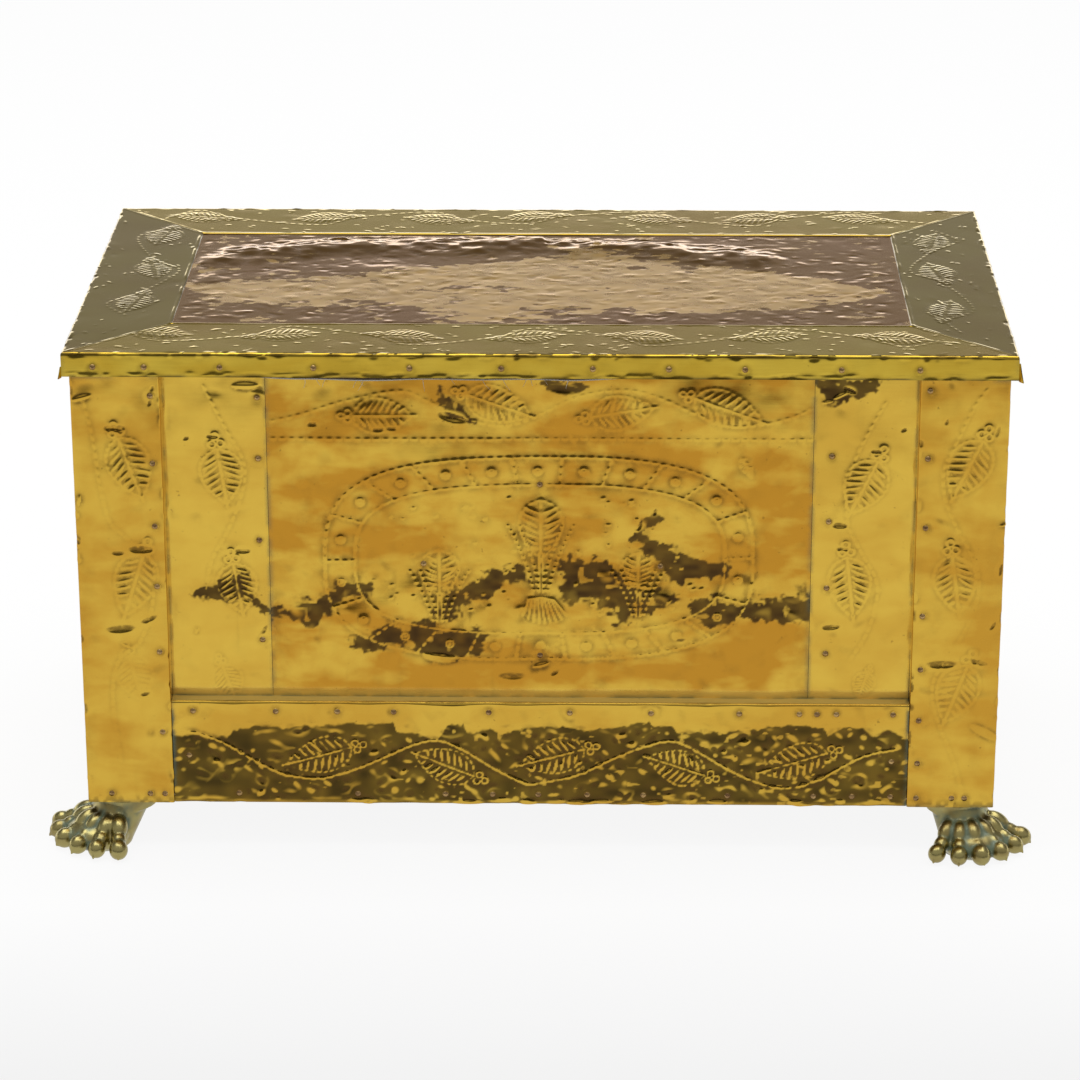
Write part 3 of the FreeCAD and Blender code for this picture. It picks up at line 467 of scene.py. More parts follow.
# The photograph's camera. A place on the front or the lid is also read off through it.
viewpoint = dict(place=(0.0483, -2.7577, 1.2129), turn=(69.297, 0.084, 1.033), lens=131.11, sensor=36,
                 frame=1080)


def sightLine(px, py):
    spread = viewpoint["sensor"] / viewpoint["lens"] / viewpoint["frame"]
    middle = viewpoint["frame"] / 2
    turn = Euler([math.radians(a) for a in viewpoint["turn"]]).to_matrix()
    return turn @ Vector(((px - middle) * spread, (middle - py) * spread, -1))


def onFront(px, py, depth):
    ray, eye = sightLine(px, py), viewpoint["place"]
    share = (depth * mm - eye[1]) / ray.y
    return (eye[0] + ray.x * share) / mm, (eye[2] + ray.z * share) / mm


def onLid(px, py, height):
    ray, eye = sightLine(px, py), viewpoint["place"]
    share = (height * mm - eye[2]) / ray.z
    return (eye[0] + ray.x * share) / mm, (eye[1] + ray.y * share) / mm


def spots(place, pixels):
    return [place(*at) for at in pixels]


# Sprigs given as leaf base, leaf tip and rise; nicks as middle, length, turn and rise.
def sprigsAt(relief, place, sprigs, width=30):
    for base, tip, rise in sprigs:
        (bx, bz), (tx, tz) = place(*base), place(*tip)
        long = math.hypot(tx - bx, tz - bz)
        sprig(relief, (bx, bz), math.atan2(tz - bz, tx - bx), long, min(width, 0.74 * long), rise)


def nicksAt(relief, place, nicks):
    for px, py, long, turn, rise in nicks:
        lobe(relief, place(px, py), long, max(2.6, 0.3 * long), turn, rise)


# Makes a material and gives its nodes, its way to link them and its shader.
def newMaterial(name):
    material = bpy.data.materials.new(name)
    material.use_nodes = True
    tree = material.node_tree
    return material, tree.nodes, tree.links.new, tree.nodes["Principled BSDF"]


# A socket takes a plain value or a link from another node.
def feed(link, socket, value):
    if isinstance(value, (int, float, tuple)):
        socket.default_value = value
    else:
        link(value, socket)


def mathNode(tree, link, kind, *values, clamp=False):
    node = tree.new("ShaderNodeMath")
    node.operation = kind
    node.use_clamp = clamp
    for socket, value in zip(node.inputs, values):
        feed(link, socket, value)
    return node.outputs[0]


def mixNode(tree, link, share, a, b, kind="MIX"):
    node = tree.new("ShaderNodeMix")
    node.data_type = "RGBA"
    node.blend_type = kind
    feed(link, node.inputs["Factor"], share)
    feed(link, node.inputs[6], a)
    feed(link, node.inputs[7], b)
    return node.outputs[2]


def spanNode(tree, link, value, low=0.0, high=1.0, start=0.0, stop=1.0, smooth=False):
    node = tree.new("ShaderNodeMapRange")
    node.interpolation_type = "SMOOTHSTEP" if smooth else "LINEAR"
    node.inputs["From Min"].default_value, node.inputs["From Max"].default_value = low, high
    node.inputs["To Min"].default_value, node.inputs["To Max"].default_value = start, stop
    link(value, node.inputs["Value"])
    return node.outputs["Result"]


def noiseNode(tree, link, place, scale, detail, distortion=0.0):
    node = tree.new("ShaderNodeTexNoise")
    node.inputs["Scale"].default_value = scale
    node.inputs["Detail"].default_value = detail
    node.inputs["Distortion"].default_value = distortion
    link(place, node.inputs["Vector"])
    return node


def toneNode(tree, link, value, low, high, dark, light):
    node = tree.new("ShaderNodeValToRGB")
    first, last = node.color_ramp.elements
    first.position, last.position = low, high
    first.color, last.color = dark + (1,), light + (1,)
    link(value, node.inputs["Fac"])
    return node.outputs["Color"]


def bumpNode(tree, link, height, strength, distance, shader):
    node = tree.new("ShaderNodeBump")
    node.inputs["Strength"].default_value = strength
    node.inputs["Distance"].default_value = distance
    link(height, node.inputs["Height"])
    link(node.outputs["Normal"], shader.inputs["Normal"])


# Colour and wear shared by all the brass: warm patches, dirt and painted shade in the hollows, green at the
# seams.
ageingColours = ("Bright", "Amber", "Dark", "Tarnish", "Dull")
ageingAmounts = {"Patch Scale": "patch", "Amber Amount": "amberAmount", "Grime Amount": "grime",
                 "Green Amount": "green"}


def ageingGroup():
    group = bpy.data.node_groups.new("ageing", "ShaderNodeTree")
    face = group.interface
    for title in ageingColours:
        face.new_socket(title, in_out="INPUT", socket_type="NodeSocketColor")
    for title in ageingAmounts:
        face.new_socket(title, in_out="INPUT", socket_type="NodeSocketFloat")
    face.new_socket("Colour", in_out="OUTPUT", socket_type="NodeSocketColor")
    for title in ("Grime", "Green", "Roughness", "Height", "Dulled"):
        face.new_socket(title, in_out="OUTPUT", socket_type="NodeSocketFloat")
    tree, link = group.nodes, group.links.new
    given, result = tree.new("NodeGroupInput"), tree.new("NodeGroupOutput")
    place = tree.new("ShaderNodeTexCoord").outputs["Object"]
    times = lambda a, b: mathNode(tree, link, "MULTIPLY", a, b, clamp=True)
    plus = lambda a, b: mathNode(tree, link, "ADD", a, b, clamp=True)
    mix = lambda share, a, b: mixNode(tree, link, share, a, b)
    band = lambda node, low, high: spanNode(tree, link, node.outputs["Fac"], low, high, smooth=True)

    def noise(scale, detail, stretch=(1, 1, 1), distortion=0.0):
        mapping = tree.new("ShaderNodeMapping")
        mapping.inputs["Scale"].default_value = stretch
        link(place, mapping.inputs["Vector"])
        return noiseNode(tree, link, mapping.outputs["Vector"], scale, detail, distortion)

    def attribute(title):
        node = tree.new("ShaderNodeAttribute")
        node.attribute_name = title
        return node.outputs["Fac"]

    patchy = noise(1, 3, (1, 1, 2.2), 0.35)
    link(given.outputs["Patch Scale"], patchy.inputs["Scale"])
    patches = band(patchy, 0.4, 0.66)
    mottle = band(noise(70, 5), 0.35, 0.75)
    smears = band(noise(24, 5, (1, 1, 2.6), 0.3), 0.44, 0.66)
    worn = plus(times(mottle, 0.28), times(smears, 0.34))
    amber = times(plus(times(patches, 0.85), worn), given.outputs["Amber Amount"])
    cloud = noise(160, 6)
    specks = band(noise(230, 4), 0.69, 0.76)
    dirt = times(attribute("hollow"), band(cloud, 0.25, 0.6))
    grime = times(plus(dirt, times(specks, 0.45)), given.outputs["Grime Amount"])
    green = times(times(attribute("seam"), band(noise(60, 5), 0.38, 0.58)), given.outputs["Green Amount"])
    dull = attribute("dull")
    # Matt colour where a sheet is painted light, then painted dark reflection and shadow, with some tarnish.
    base = mix(dull, mix(amber, given.outputs["Bright"], given.outputs["Amber"]), given.outputs["Dull"])
    stained = mix(attribute("tarnish"), base, given.outputs["Tarnish"])
    scratches = noise(420, 3, (0.08, 0.08, 1)).outputs["Fac"]
    made = {"Colour": mix(grime, stained, given.outputs["Dark"]), "Grime": grime, "Green": green,
            "Roughness": plus(times(mottle, 0.5), times(patches, 0.5)), "Dulled": dull,
            "Height": plus(times(scratches, 0.5), times(cloud.outputs["Fac"], 0.5))}
    for title, value in made.items():
        link(value, result.inputs[title])
    return group


ageing = ageingGroup()


def makeBrass(name, look):
    material, tree, link, shader = newMaterial(name)
    age = tree.new("ShaderNodeGroup")
    age.node_tree = ageing
    for title in ageingColours:
        age.inputs[title].default_value = look[title.lower()] + (1,)
    for title, key in ageingAmounts.items():
        age.inputs[title].default_value = look[key]
    aged = age.outputs
    weighed = lambda value, share, start: mathNode(tree, link, "MULTIPLY_ADD", value, share, start)
    colour = mixNode(tree, link, aged["Green"], aged["Colour"], look["verdigris"] + (1,))
    link(colour, shader.inputs["Base Color"])
    rough = spanNode(tree, link, aged["Roughness"], start=look["rough"][0], stop=look["rough"][1])
    soiled = weighed(aged["Grime"], look["soiled"], rough)
    link(weighed(aged["Dulled"], look["matt"], soiled), shader.inputs["Roughness"])
    metal = weighed(aged["Green"], -look["corroded"], 1.0)
    link(weighed(aged["Dulled"], -look["dry"], metal), shader.inputs["Metallic"])
    bumpNode(tree, link, aged["Height"], look["bump"], look["scratch"], shader)
    return material


goldLook = dict(bright=(0.62, 0.40, 0.055), amber=(0.48, 0.235, 0.024), dark=(0.10, 0.055, 0.015),
                tarnish=(0.05, 0.027, 0.01), dull=(0.60, 0.37, 0.10), verdigris=(0.065, 0.09, 0.05),
                patch=9, amberAmount=0.8, grime=0.7, green=0.35, rough=(0.08, 0.17), soiled=0.35,
                corroded=0.9, matt=0.22, dry=0.0, bump=0.1, scratch=0.0004)
# The panels' matt colour is a paler gold: painted light on the sheets' foot above the rail's ledge.
panelLook = dict(goldLook, dull=(0.9, 0.61, 0.12), matt=0.5, dry=0.5)
panelBrass = makeBrass("panelBrass", dict(panelLook, bright=(0.65, 0.43, 0.062), amberAmount=0.35))
centreBrass = makeBrass("centreBrass", dict(panelLook, amberAmount=1.25, patch=14))
stileBrass = makeBrass("stileBrass", dict(goldLook, amberAmount=0.75, patch=11))
railBrass = makeBrass("railBrass", dict(goldLook, amberAmount=0.5, grime=0.8, green=0.9, rough=(0.05, 0.12),
                                        tarnish=(0.05, 0.033, 0.009), dull=(0.70, 0.50, 0.12),
                                        matt=0.5, dry=0.85))
lipLook = dict(goldLook, grime=0.5, green=0.15)
borderBrass = makeBrass("borderBrass", dict(lipLook, bright=(0.57, 0.405, 0.05), amber=(0.50, 0.32, 0.03),
                                            rough=(0.07, 0.15)))
# The side borders take a darker copy of the border brass: painted shade for their dimmer reflection.
sideBrass = makeBrass("sideBrass", dict(lipLook, bright=(0.36, 0.26, 0.03), amber=(0.32, 0.21, 0.02),
                                        rough=(0.04, 0.09), bump=0.06))
lidBrass = makeBrass("lidBrass", dict(goldLook, bright=(0.36, 0.175, 0.02), amber=(0.32, 0.14, 0.015),
                                      dark=(0.12, 0.06, 0.02), patch=6, grime=0.5, green=0.1,
                                      rough=(0.08, 0.15)))
castBrass = makeBrass("castBrass", dict(goldLook, bright=(0.36, 0.31, 0.12), amber=(0.27, 0.21, 0.08),
                                        patch=40, grime=0.5, green=1.0, verdigris=(0.15, 0.19, 0.12),
                                        rough=(0.26, 0.4), bump=0.3))
print("brass ready")

pinNodes = ("front_sheet_pins", "stile_pins", "rail_pins", "end_pins", "lid_pins")
pins = {name: pinPlaces(name) for name in pinNodes}
frontFace = boxOf("front_centre_sheet")[0][1]
stileFace = boxOf("left_stile_sheet")[0][1]
railFace, railTop = boxOf("rail_sheet")[0][1], boxOf("rail_sheet")[1][2]
panelSpot = lambda px, py: onFront(px, py, frontFace)
stileSpot = lambda px, py: onFront(px, py, stileFace)
railSpot = lambda px, py: onFront(px, py, railFace)

# The wide centre sheet: a leaf band along the top, the oval frame and three plumes on low hills. Places are
# the photograph's pixels, and shade outlines its dark marks, which are painted in as dark reflections.
centre = dict(
    step=0.98, power=3.0, outer=(325, 753, 457.5, 658.5), inner=(355, 725, 485, 632.5),
    bars=22, lineWidth=1.0, lineRise=0.4, barRise=0.36, knot=(2.5, 0.38), boss=(3.6, 0.4),
    swell=dict(rise=1.5, width=38, fall=95, seed=3),
    hills=((250, 598), (290, 592), (320, 590), (345, 578), (368, 582), (398, 560), (430, 566), (470, 590),
           (492, 566), (520, 562), (560, 560), (590, 568), (610, 556), (632, 545), (650, 538), (672, 546),
           (695, 552), (725, 566), (745, 580), (775, 588), (830, 594)),
    sprigs=(((352, 415), (412, 415), 0.36), ((466, 394), (531, 416), 0.42),
            ((590, 417), (654, 407), 0.36), ((694, 397), (763, 422), 0.42)),
    sprigWidth=26, stemRise=0.16,
    stem=((268, 422), (302, 414), (345, 401), (400, 391), (430, 402), (470, 420), (510, 425), (545, 412),
          (580, 396), (625, 390), (660, 398), (700, 415), (740, 427), (790, 418), (822, 404)),
    beads=((268, 438.5), (822, 440)), beadRise=0.24,
    plumes=(((541, 499), (541, 592), 31), ((440, 550), (440, 622), 28), ((641, 552), (638, 616), 25)),
    sprout=dict(at=(742, 458), turn=-1.1, length=15, width=8, rise=0.3),
    flecks=dict(count=90, seed=12, across=(372, 712), down=(494, 620), middle=(540, 558), halves=(182, 72),
                plumes=(541, 440, 640), clear=26, above=535, clearAbove=30),
    nicks=((312, 424, 7, 0, -0.5), (452, 417, 22, -0.25, -0.9), (378, 429, 8, 0, -0.5),
           (392, 428, 7, 0, -0.5), (541, 665, 14, 0.3, 0.8), (512, 675, 22, 0, -0.5),
           (555, 672, 8, 0.6, -0.6), (640, 525, 9, 1.2, -0.9), (655, 512, 6, 1.2, -0.6),
           (680, 639, 8, 0, -0.4), (440, 657, 26, -0.1, 0.7), (563, 389, 24, -0.1, -0.3)),
    sways=((150, 0.45, 3), (60, 0.2, 4), (24, 0.05, 5)),
    dents=dict(count=90, sizes=(3, 9), depths=(0.05, 0.2)),
    knocks=dict(count=420, sizes=(2.5, 7), depths=(0.1, 0.45), ups=0.5), ground=(540, 600), groundReach=26,
    shadeSeed=300,
    shade=(((266, 611), (292, 602), (324, 596), (339, 581), (358, 579), (371, 589), (355, 599), (336, 604),
            (330, 618), (314, 629), (296, 622), (280, 620), (266, 619)),
           ((346, 638), (380, 630), (394, 621), (408, 630), (418, 621), (436, 618), (446, 627), (486, 631),
            (489, 641), (477, 652), (449, 658), (424, 650), (408, 641), (394, 646), (371, 648), (349, 642)),
           ((436, 612), (446, 599), (458, 591), (468, 582), (481, 579), (492, 569), (516, 564), (526, 569),
            (528, 579), (508, 583), (498, 592), (475, 600), (462, 610), (449, 622)),
           ((558, 600), (558, 562), (568, 556), (586, 561), (606, 559), (614, 568), (628, 575), (630, 586),
            (648, 592), (668, 591), (675, 599), (661, 608), (636, 619), (616, 621), (605, 609), (589, 601),
            (572, 606)),
           ((630, 536), (642, 525), (654, 514), (660, 519), (651, 530), (658, 544), (668, 544), (681, 556),
            (700, 561), (722, 562), (728, 570), (720, 581), (694, 579), (681, 584), (668, 579), (658, 561),
            (639, 546)),
           ((689, 610), (700, 598), (714, 594), (727, 605), (741, 601), (750, 595), (780, 599), (820, 591),
            (820, 615), (788, 622), (761, 620), (739, 616), (733, 622), (714, 625), (696, 619)),
           ((546, 385), (571, 384), (599, 385), (580, 394), (555, 395)),
           ((439, 385), (450, 399), (475, 421), (450, 420), (436, 402))))


def ovalLine(frameBox, count=112):
    left, right, top, bottom = frameBox
    turns = np.linspace(0, 2 * math.pi, count + 1)
    bend = 2 / centre["power"]
    x = (left + right) / 2 + (right - left) / 2 * np.sign(np.cos(turns)) * np.abs(np.cos(turns)) ** bend
    y = (top + bottom) / 2 - (bottom - top) / 2 * np.sign(np.sin(turns)) * np.abs(np.sin(turns)) ** bend
    return np.array(spots(panelSpot, zip(x, y)))


def alongLine(points, count, offset=0.0):
    run = np.concatenate([[0], np.cumsum(np.linalg.norm(np.diff(points, axis=0), axis=1))])
    at = ((np.arange(count) + offset) / count % 1) * run[-1]
    return np.stack([np.interp(at, run, points[:, k]) for k in (0, 1)], axis=1)


# A plume: a hanging leaf over beaded columns that spread from a double stalk.
plumeForm = dict(rise=0.42, leaf=0.64, columns=((0.13, 0.5), (0.3, 0.78)), bead=(4.4, 3.6, 3.2),
                 stalk=(1.4, 0.42), stalkRise=0.4)


def plume(relief, foot, tall, wide):
    x, z = foot
    hanging = math.pi - leafForm["lean"]
    leaf(relief, (x, z + tall), -math.pi / 2, plumeForm["leaf"] * tall, wide, plumeForm["rise"], hanging)
    for sign in (-1, 1):
        for inner, outer in plumeForm["columns"]:
            column = [(x + sign * inner * wide * 0.5, z), (x + sign * inner * wide, z + 0.25 * tall),
                      (x + sign * outer * wide * 0.72, z + 0.55 * tall),
                      (x + sign * outer * wide, z + 0.74 * tall)]
            dashes(relief, smoothLine(column), *plumeForm["bead"], plumeForm["rise"])
        out, up = plumeForm["stalk"]
        stalk = [(x + sign * out, z + 1), (x + sign * out, z + up * tall)]
        ridge(relief, stalk, 0.8, plumeForm["stalkRise"])


def ovalFrame(relief):
    outer, inner = ovalLine(centre["outer"]), ovalLine(centre["inner"])
    ridge(relief, outer, centre["lineWidth"], centre["lineRise"], 6.4, 0.8)
    ridge(relief, inner, centre["lineWidth"] * 0.9, 0.8 * centre["lineRise"], 7.2, 0.6)
    for far, near in zip(alongLine(outer, centre["bars"]), alongLine(inner, centre["bars"])):
        ridge(relief, [far, near], centre["lineWidth"], centre["barRise"], 5.6, 0.9)
    size, rise = centre["boss"]
    for spot in alongLine((outer + inner) / 2, centre["bars"], 0.5):
        ring(relief, spot, *centre["knot"])
        lobe(relief, spot, size, size, 0, rise)


# Small flecks on the ground inside the oval, clear of the plumes.
def ovalFlecks(relief):
    form = centre["flecks"]
    first = form["plumes"][0]
    rng = np.random.default_rng(form["seed"])
    for _ in range(form["count"]):
        px, py = rng.uniform(*form["across"]), rng.uniform(*form["down"])
        clear = min(abs(px - x) for x in form["plumes"]) > form["clear"]
        clear = clear or py < form["above"] and abs(px - first) > form["clearAbove"]
        (mx, my), (hx, hy) = form["middle"], form["halves"]
        if ((px - mx) / hx) ** 2 + ((py - my) / hy) ** 2 < 1 and clear:
            long, wide = rng.uniform(3.6, 6), rng.uniform(2.6, 3.6)
            lobe(relief, panelSpot(px, py), long, wide, rng.uniform(0, 0.8), rng.uniform(0.15, 0.4))


def centreRelief(u, v):
    relief = newRelief(u, v)
    bulge(relief, spots(panelSpot, centre["hills"]), **centre["swell"])
    # Dark reflections painted inside the shade outlines.
    darkReflectionAt(relief, panelSpot, centre["shade"], centre["shadeSeed"])
    sprigsAt(relief, panelSpot, centre["sprigs"], centre["sprigWidth"])
    vine(relief, spots(panelSpot, centre["stem"]), centre["stemRise"])
    ridge(relief, spots(panelSpot, centre["beads"]), 1.0, centre["beadRise"], 6.6, 0.95)
    ovalFrame(relief)
    for top, foot, wide in centre["plumes"]:
        x, z = panelSpot(*foot)
        plume(relief, (x, z), panelSpot(*top)[1] - z, wide)
    for k in range(-4, 5):
        root = [panelSpot(541 + 3 * k, 596 + 0.4 * abs(k)), panelSpot(545 + 5.5 * k, 622 - 0.5 * k * k)]
        ridge(relief, root, 0.9, 0.45)
    ovalFlecks(relief)
    sprout = centre["sprout"]
    leaf(relief, panelSpot(*sprout["at"]), sprout["turn"], sprout["length"], sprout["width"], sprout["rise"])
    nicksAt(relief, panelSpot, centre["nicks"])
    sway(relief, 5, centre["sways"])
    dents(relief, 6, **centre["dents"])
    knocks = newRelief(u, v)
    dents(knocks, 7, **centre["knocks"])
    ground = panelSpot(*centre["ground"])[1]
    relief["h"] += knocks["h"] * np.exp(-(((v - ground) / centre["groundReach"]) ** 2))
    return relief


# A front sheet lies flat at its edges, and its foot above the rail's ledge is matt and painted a paler gold:
# painted light where the ledge would shade it.
frontForm = dict(inset=0.15, edge=5, lift=0.6, bow=30, mattAbove=8, mattFade=7)


def frontSheet(name, node, material, step, makeRelief):
    low, high = boxOf(node)
    inset = frontForm["inset"]
    line = foldedLine([(low[0] + inset, low[1]), (high[0] - inset, low[1])], 1, step, 1)
    base, normal = uprightGrid(line, low[2], high[2], step)[:2]
    relief = makeRelief(base[:, :, 0], base[:, :, 2])
    edge = np.minimum(relief["u"] - low[0], high[0] - relief["u"])
    relief["h"] *= 0.25 + 0.75 * ease(edge / frontForm["edge"])
    relief["swell"] = (relief["swell"] + frontForm["lift"]) * ease(edge / frontForm["bow"])
    relief["dull"] = ease((railTop + frontForm["mattAbove"] - relief["v"]) / frontForm["mattFade"])
    mine = [p for p in pins["front_sheet_pins"] if low[0] < p[0] < high[0]]
    seatPins(relief, [(p[0], p[2]) for p in mine])
    makeSheet(name, node, "case", material, base, normal, relief)


frontSheet("centreSheet", "front_centre_sheet", centreBrass, centre["step"], centreRelief)

# The narrow sheets each side of it, with a vine down each and a leaf in every bend.
sideForm = dict(step=0.72, sways=((120, 0.35, 3), (45, 0.13, 3)),
                dents=dict(count=34, sizes=(2.5, 8), depths=(0.05, 0.22)))
leftForm = dict(
    line=((165, 580), (192, 588), (212, 584), (236, 572), (252, 588), (275, 598)),
    swell=dict(rise=1.0, width=17, fall=46, seed=8, rough=0.5), shadeSeed=310,
    shade=(((192, 592), (210, 586), (232, 582), (245, 572), (250, 580), (260, 600), (272, 612), (260, 610),
            (240, 598), (220, 598), (205, 596)),),
    sprigs=(((217, 448), (227, 503), 0.34), ((233, 563), (243, 612), 0.36), ((222, 664), (236, 699), 0.14)),
    stem=((202, 383), (225, 427), (240, 453), (245, 473), (240, 500), (228, 530), (212, 560), (206, 590)),
    stemRise=0.15, seed=15,
    nicks=((212, 436, 9, 0, -0.5), (243, 551, 12, 0, -0.5), (186, 438, 5, 0.4, -0.4),
           (263, 632, 14, 1.0, -0.6), (268, 390, 26, 0, -1.0), (245, 386, 20, 0, 0.8),
           (197, 630, 6, 1.2, 0.4)))
rightForm = dict(
    line=((800, 382), (845, 380), (880, 368), (915, 355)),
    swell=dict(rise=0.8, width=18, fall=60, seed=18, rough=0.5, span=(150, 226), fade=24), shadeSeed=320,
    shade=(((818, 380), (884, 380), (866, 394), (848, 401), (830, 407), (818, 402)),),
    sprigs=(((878, 460), (850, 513), 0.32), ((847, 557), (853, 617), 0.34), ((868, 672), (858, 697), 0.2)),
    stem=((887, 400), (877, 417), (868, 433), (855, 460), (847, 487), (848, 523), (860, 550), (875, 577),
          (877, 597), (868, 630), (850, 660)),
    stemRise=0.17, seed=25,
    nicks=((838, 525, 14, -0.1, -0.8), (831, 627, 14, 0.1, -0.8), (877, 451, 9, 0, -0.5),
           (843, 549, 10, 0, -0.4), (840, 396, 12, 0.5, 0.6), (828, 402, 9, 0.2, 0.6),
           (904, 430, 5, 0.4, -0.4), (850, 390, 10, -0.4, -0.7)))


def sideSheet(name, node, form):
    def sideRelief(u, v):
        relief = newRelief(u, v)
        bulge(relief, spots(panelSpot, form["line"]), **form["swell"])
        # Dark reflections painted inside the shade outlines.
        darkReflectionAt(relief, panelSpot, form["shade"], form["shadeSeed"])
        sprigsAt(relief, panelSpot, form["sprigs"])
        vine(relief, spots(panelSpot, form["stem"]), form["stemRise"])
        nicksAt(relief, panelSpot, form["nicks"])
        sway(relief, form["seed"], sideForm["sways"])
        dents(relief, form["seed"] + 1, **sideForm["dents"])
        return relief

    frontSheet(name, node, panelBrass, sideForm["step"], sideRelief)


sideSheet("leftSheet", "front_left_sheet", leftForm)
sideSheet("rightSheet", "front_right_sheet", rightForm)
print("front sheets pressed")

# Stiles: brass folded round the planted corner posts.
stileForm = dict(step=0.84, fold=1.6, lap=0.1, stemRise=0.16, sways=((130, 0.4, 3), (50, 0.14, 3)),
                 lift=0.55, bow=22, dents=dict(count=50, sizes=(2.5, 9), depths=(0.05, 0.25)), knocks=26,
                 foot=8, footTarnish=0.5, pinMargin=8)
leftStile = dict(
    sign=-1, seed=31,
    sprigs=(((117, 437), (141, 497), 0.36), ((143, 553), (124, 615), 0.28), ((128, 655), (141, 700), 0.07)),
    stem=((82, 400), (92, 440), (98, 480), (108, 520), (122, 535), (150, 560), (152, 600), (140, 640),
          (118, 660), (112, 700), (120, 760)),
    nicks=((150, 391, 8, 1.2, -0.7), (149, 401, 8, 1.2, -0.7), (140, 549, 20, 0, -0.7),
           (117, 553, 10, 0, -0.5), (120, 628, 24, 0.1, -0.7), (148, 619, 14, 0.4, -0.5),
           (125, 645, 8, -0.5, 0.4), (144, 694, 8, 0.2, -0.4), (80, 398, 16, 0.3, 0.7),
           (78, 500, 10, 1.4, 0.5), (113, 428, 16, 0, -0.5)))
rightStile = dict(
    sign=1, seed=35,
    sprigs=(((982, 440), (952, 498), 0.36), ((951, 555), (958, 613), 0.34), ((967, 665), (943, 722), 0.26)),
    stem=((988, 387), (973, 407), (957, 440), (944, 467), (943, 493), (952, 520), (963, 540), (973, 560),
          (978, 583), (973, 610), (960, 637), (947, 657), (933, 680), (932, 703), (940, 730), (952, 760),
          (963, 800)),
    nicks=((940, 664, 24, 0.05, -0.7), (977, 662, 16, -0.3, -0.5), (992, 626, 8, 1.0, -0.6),
           (1004, 525, 9, 0.3, 0.6), (984, 733, 26, -0.5, 0.4), (946, 422, 5, 1.2, -0.3),
           (997, 432, 9, 1.3, -0.3), (1000, 570, 10, 1.4, -0.5)))


def stileSheet(name, node, form):
    low, high = boxOf(node)
    sign, seed = form["sign"], form["seed"]
    inner, outer = (low[0], high[0]) if sign > 0 else (high[0], low[0])
    corners = [(inner, frontFace - stileForm["lap"]), (inner, low[1]), (outer, low[1]), (outer, high[1])]
    if sign < 0:
        corners.reverse()
    line = foldedLine(corners, stileForm["fold"], stileForm["step"], 1)
    base, normal, at, z = uprightGrid(line, low[2], high[2], stileForm["step"])
    lead = abs(corners[1][1] - corners[0][1])
    u = np.repeat((at - lead + corners[1][0])[:, None], len(z), axis=1)
    v = base[:, :, 2]
    relief = newRelief(u, v)
    sprigsAt(relief, stileSpot, form["sprigs"])
    vine(relief, spots(stileSpot, form["stem"]), stileForm["stemRise"])
    nicksAt(relief, stileSpot, form["nicks"])
    sway(relief, seed, stileForm["sways"])
    edge = np.minimum(np.abs(u - low[0]), np.abs(u - high[0]))
    relief["swell"] = (relief["swell"] + stileForm["lift"]) * ease(edge / stileForm["bow"])
    dents(relief, seed + 1, **stileForm["dents"])
    rng = np.random.default_rng(seed)
    for _ in range(stileForm["knocks"]):
        spot = (rng.choice([low[0], high[0]]), rng.uniform(low[2], high[2]))
        long, wide = rng.uniform(4, 12), rng.uniform(3, 7)
        lobe(relief, spot, long, wide, math.pi / 2, rng.choice([-0.5, 0.35]) * rng.uniform(0.4, 1))
    foot = ease((low[2] + stileForm["foot"] - v) / stileForm["foot"])
    relief["tarnish"] = stileForm["footTarnish"] * foot * ease(clouds(u, v, seed + 2, 3) / 0.6 + 0.5)
    near = low[1] + stileForm["pinMargin"]
    mine = [p for p in pins["stile_pins"] if low[0] - 1 < p[0] < high[0] + 1 and p[1] < near]
    seatPins(relief, [(p[0], p[2]) for p in mine])
    makeSheet(name, node, "case", stileBrass, base, normal, relief)


stileSheet("leftStileSheet", "left_stile_sheet", leftStile)
stileSheet("rightStileSheet", "right_stile_sheet", rightStile)
print("stiles clad")

# Bottom rail: the most knocked sheet, with a running vine. Shade is the upper line of its dark foot, which
# is
# painted: a painted dark reflection of the floor near the chest, partly tarnish.
railForm = dict(
    step=0.83, fold=1.5, inset=0.1, lap=4.3, edge=4, lift=0.3, sprigWidth=27,
    sprigs=(((352, 748), (287, 765), 0.75), ((474, 777), (415, 754), 0.75), ((585, 750), (521, 766), 0.75),
            ((705, 776), (648, 758), 0.75), ((828, 754), (761, 773), 0.7)),
    stemLine=(1.15, 0.55, 6.2, 0.45),
    stem=((190, 733), (200, 735), (225, 744), (257, 762), (285, 775), (320, 779), (350, 772), (375, 762),
          (412, 746), (437, 741), (462, 750), (495, 770), (525, 784), (540, 784), (577, 776), (610, 761),
          (640, 749), (672, 742), (700, 754), (735, 774), (765, 786), (790, 789), (815, 782), (840, 769),
          (865, 757), (897, 750)),
    shade=((180, 737), (193, 736), (207, 739), (227, 738), (233, 732), (253, 727), (283, 728), (303, 727),
           (343, 725), (370, 724), (393, 723), (397, 732), (417, 734), (437, 742), (447, 727), (463, 725),
           (467, 732), (478, 734), (490, 728), (503, 736), (523, 728), (567, 728), (590, 732), (620, 727),
           (650, 723), (654, 728), (673, 727), (677, 733), (713, 734), (740, 732), (767, 728), (793, 726),
           (823, 728), (828, 736), (840, 732), (850, 727), (863, 730), (873, 738), (887, 732), (905, 738)),
    sways=((140, 0.3, 3), (48, 0.16, 4), (18, 0.06, 5)),
    dents=dict(count=90, sizes=(3, 9), depths=(0.08, 0.3), ups=0.5),
    knocks=dict(count=700, sizes=(1.4, 3.4), depths=(0.15, 0.62), ups=0.5), knocksBelow=16,
    footLumps=40, footLump=dict(long=(8, 26), wide=(4, 7), rise=(-0.5, 0.9)))


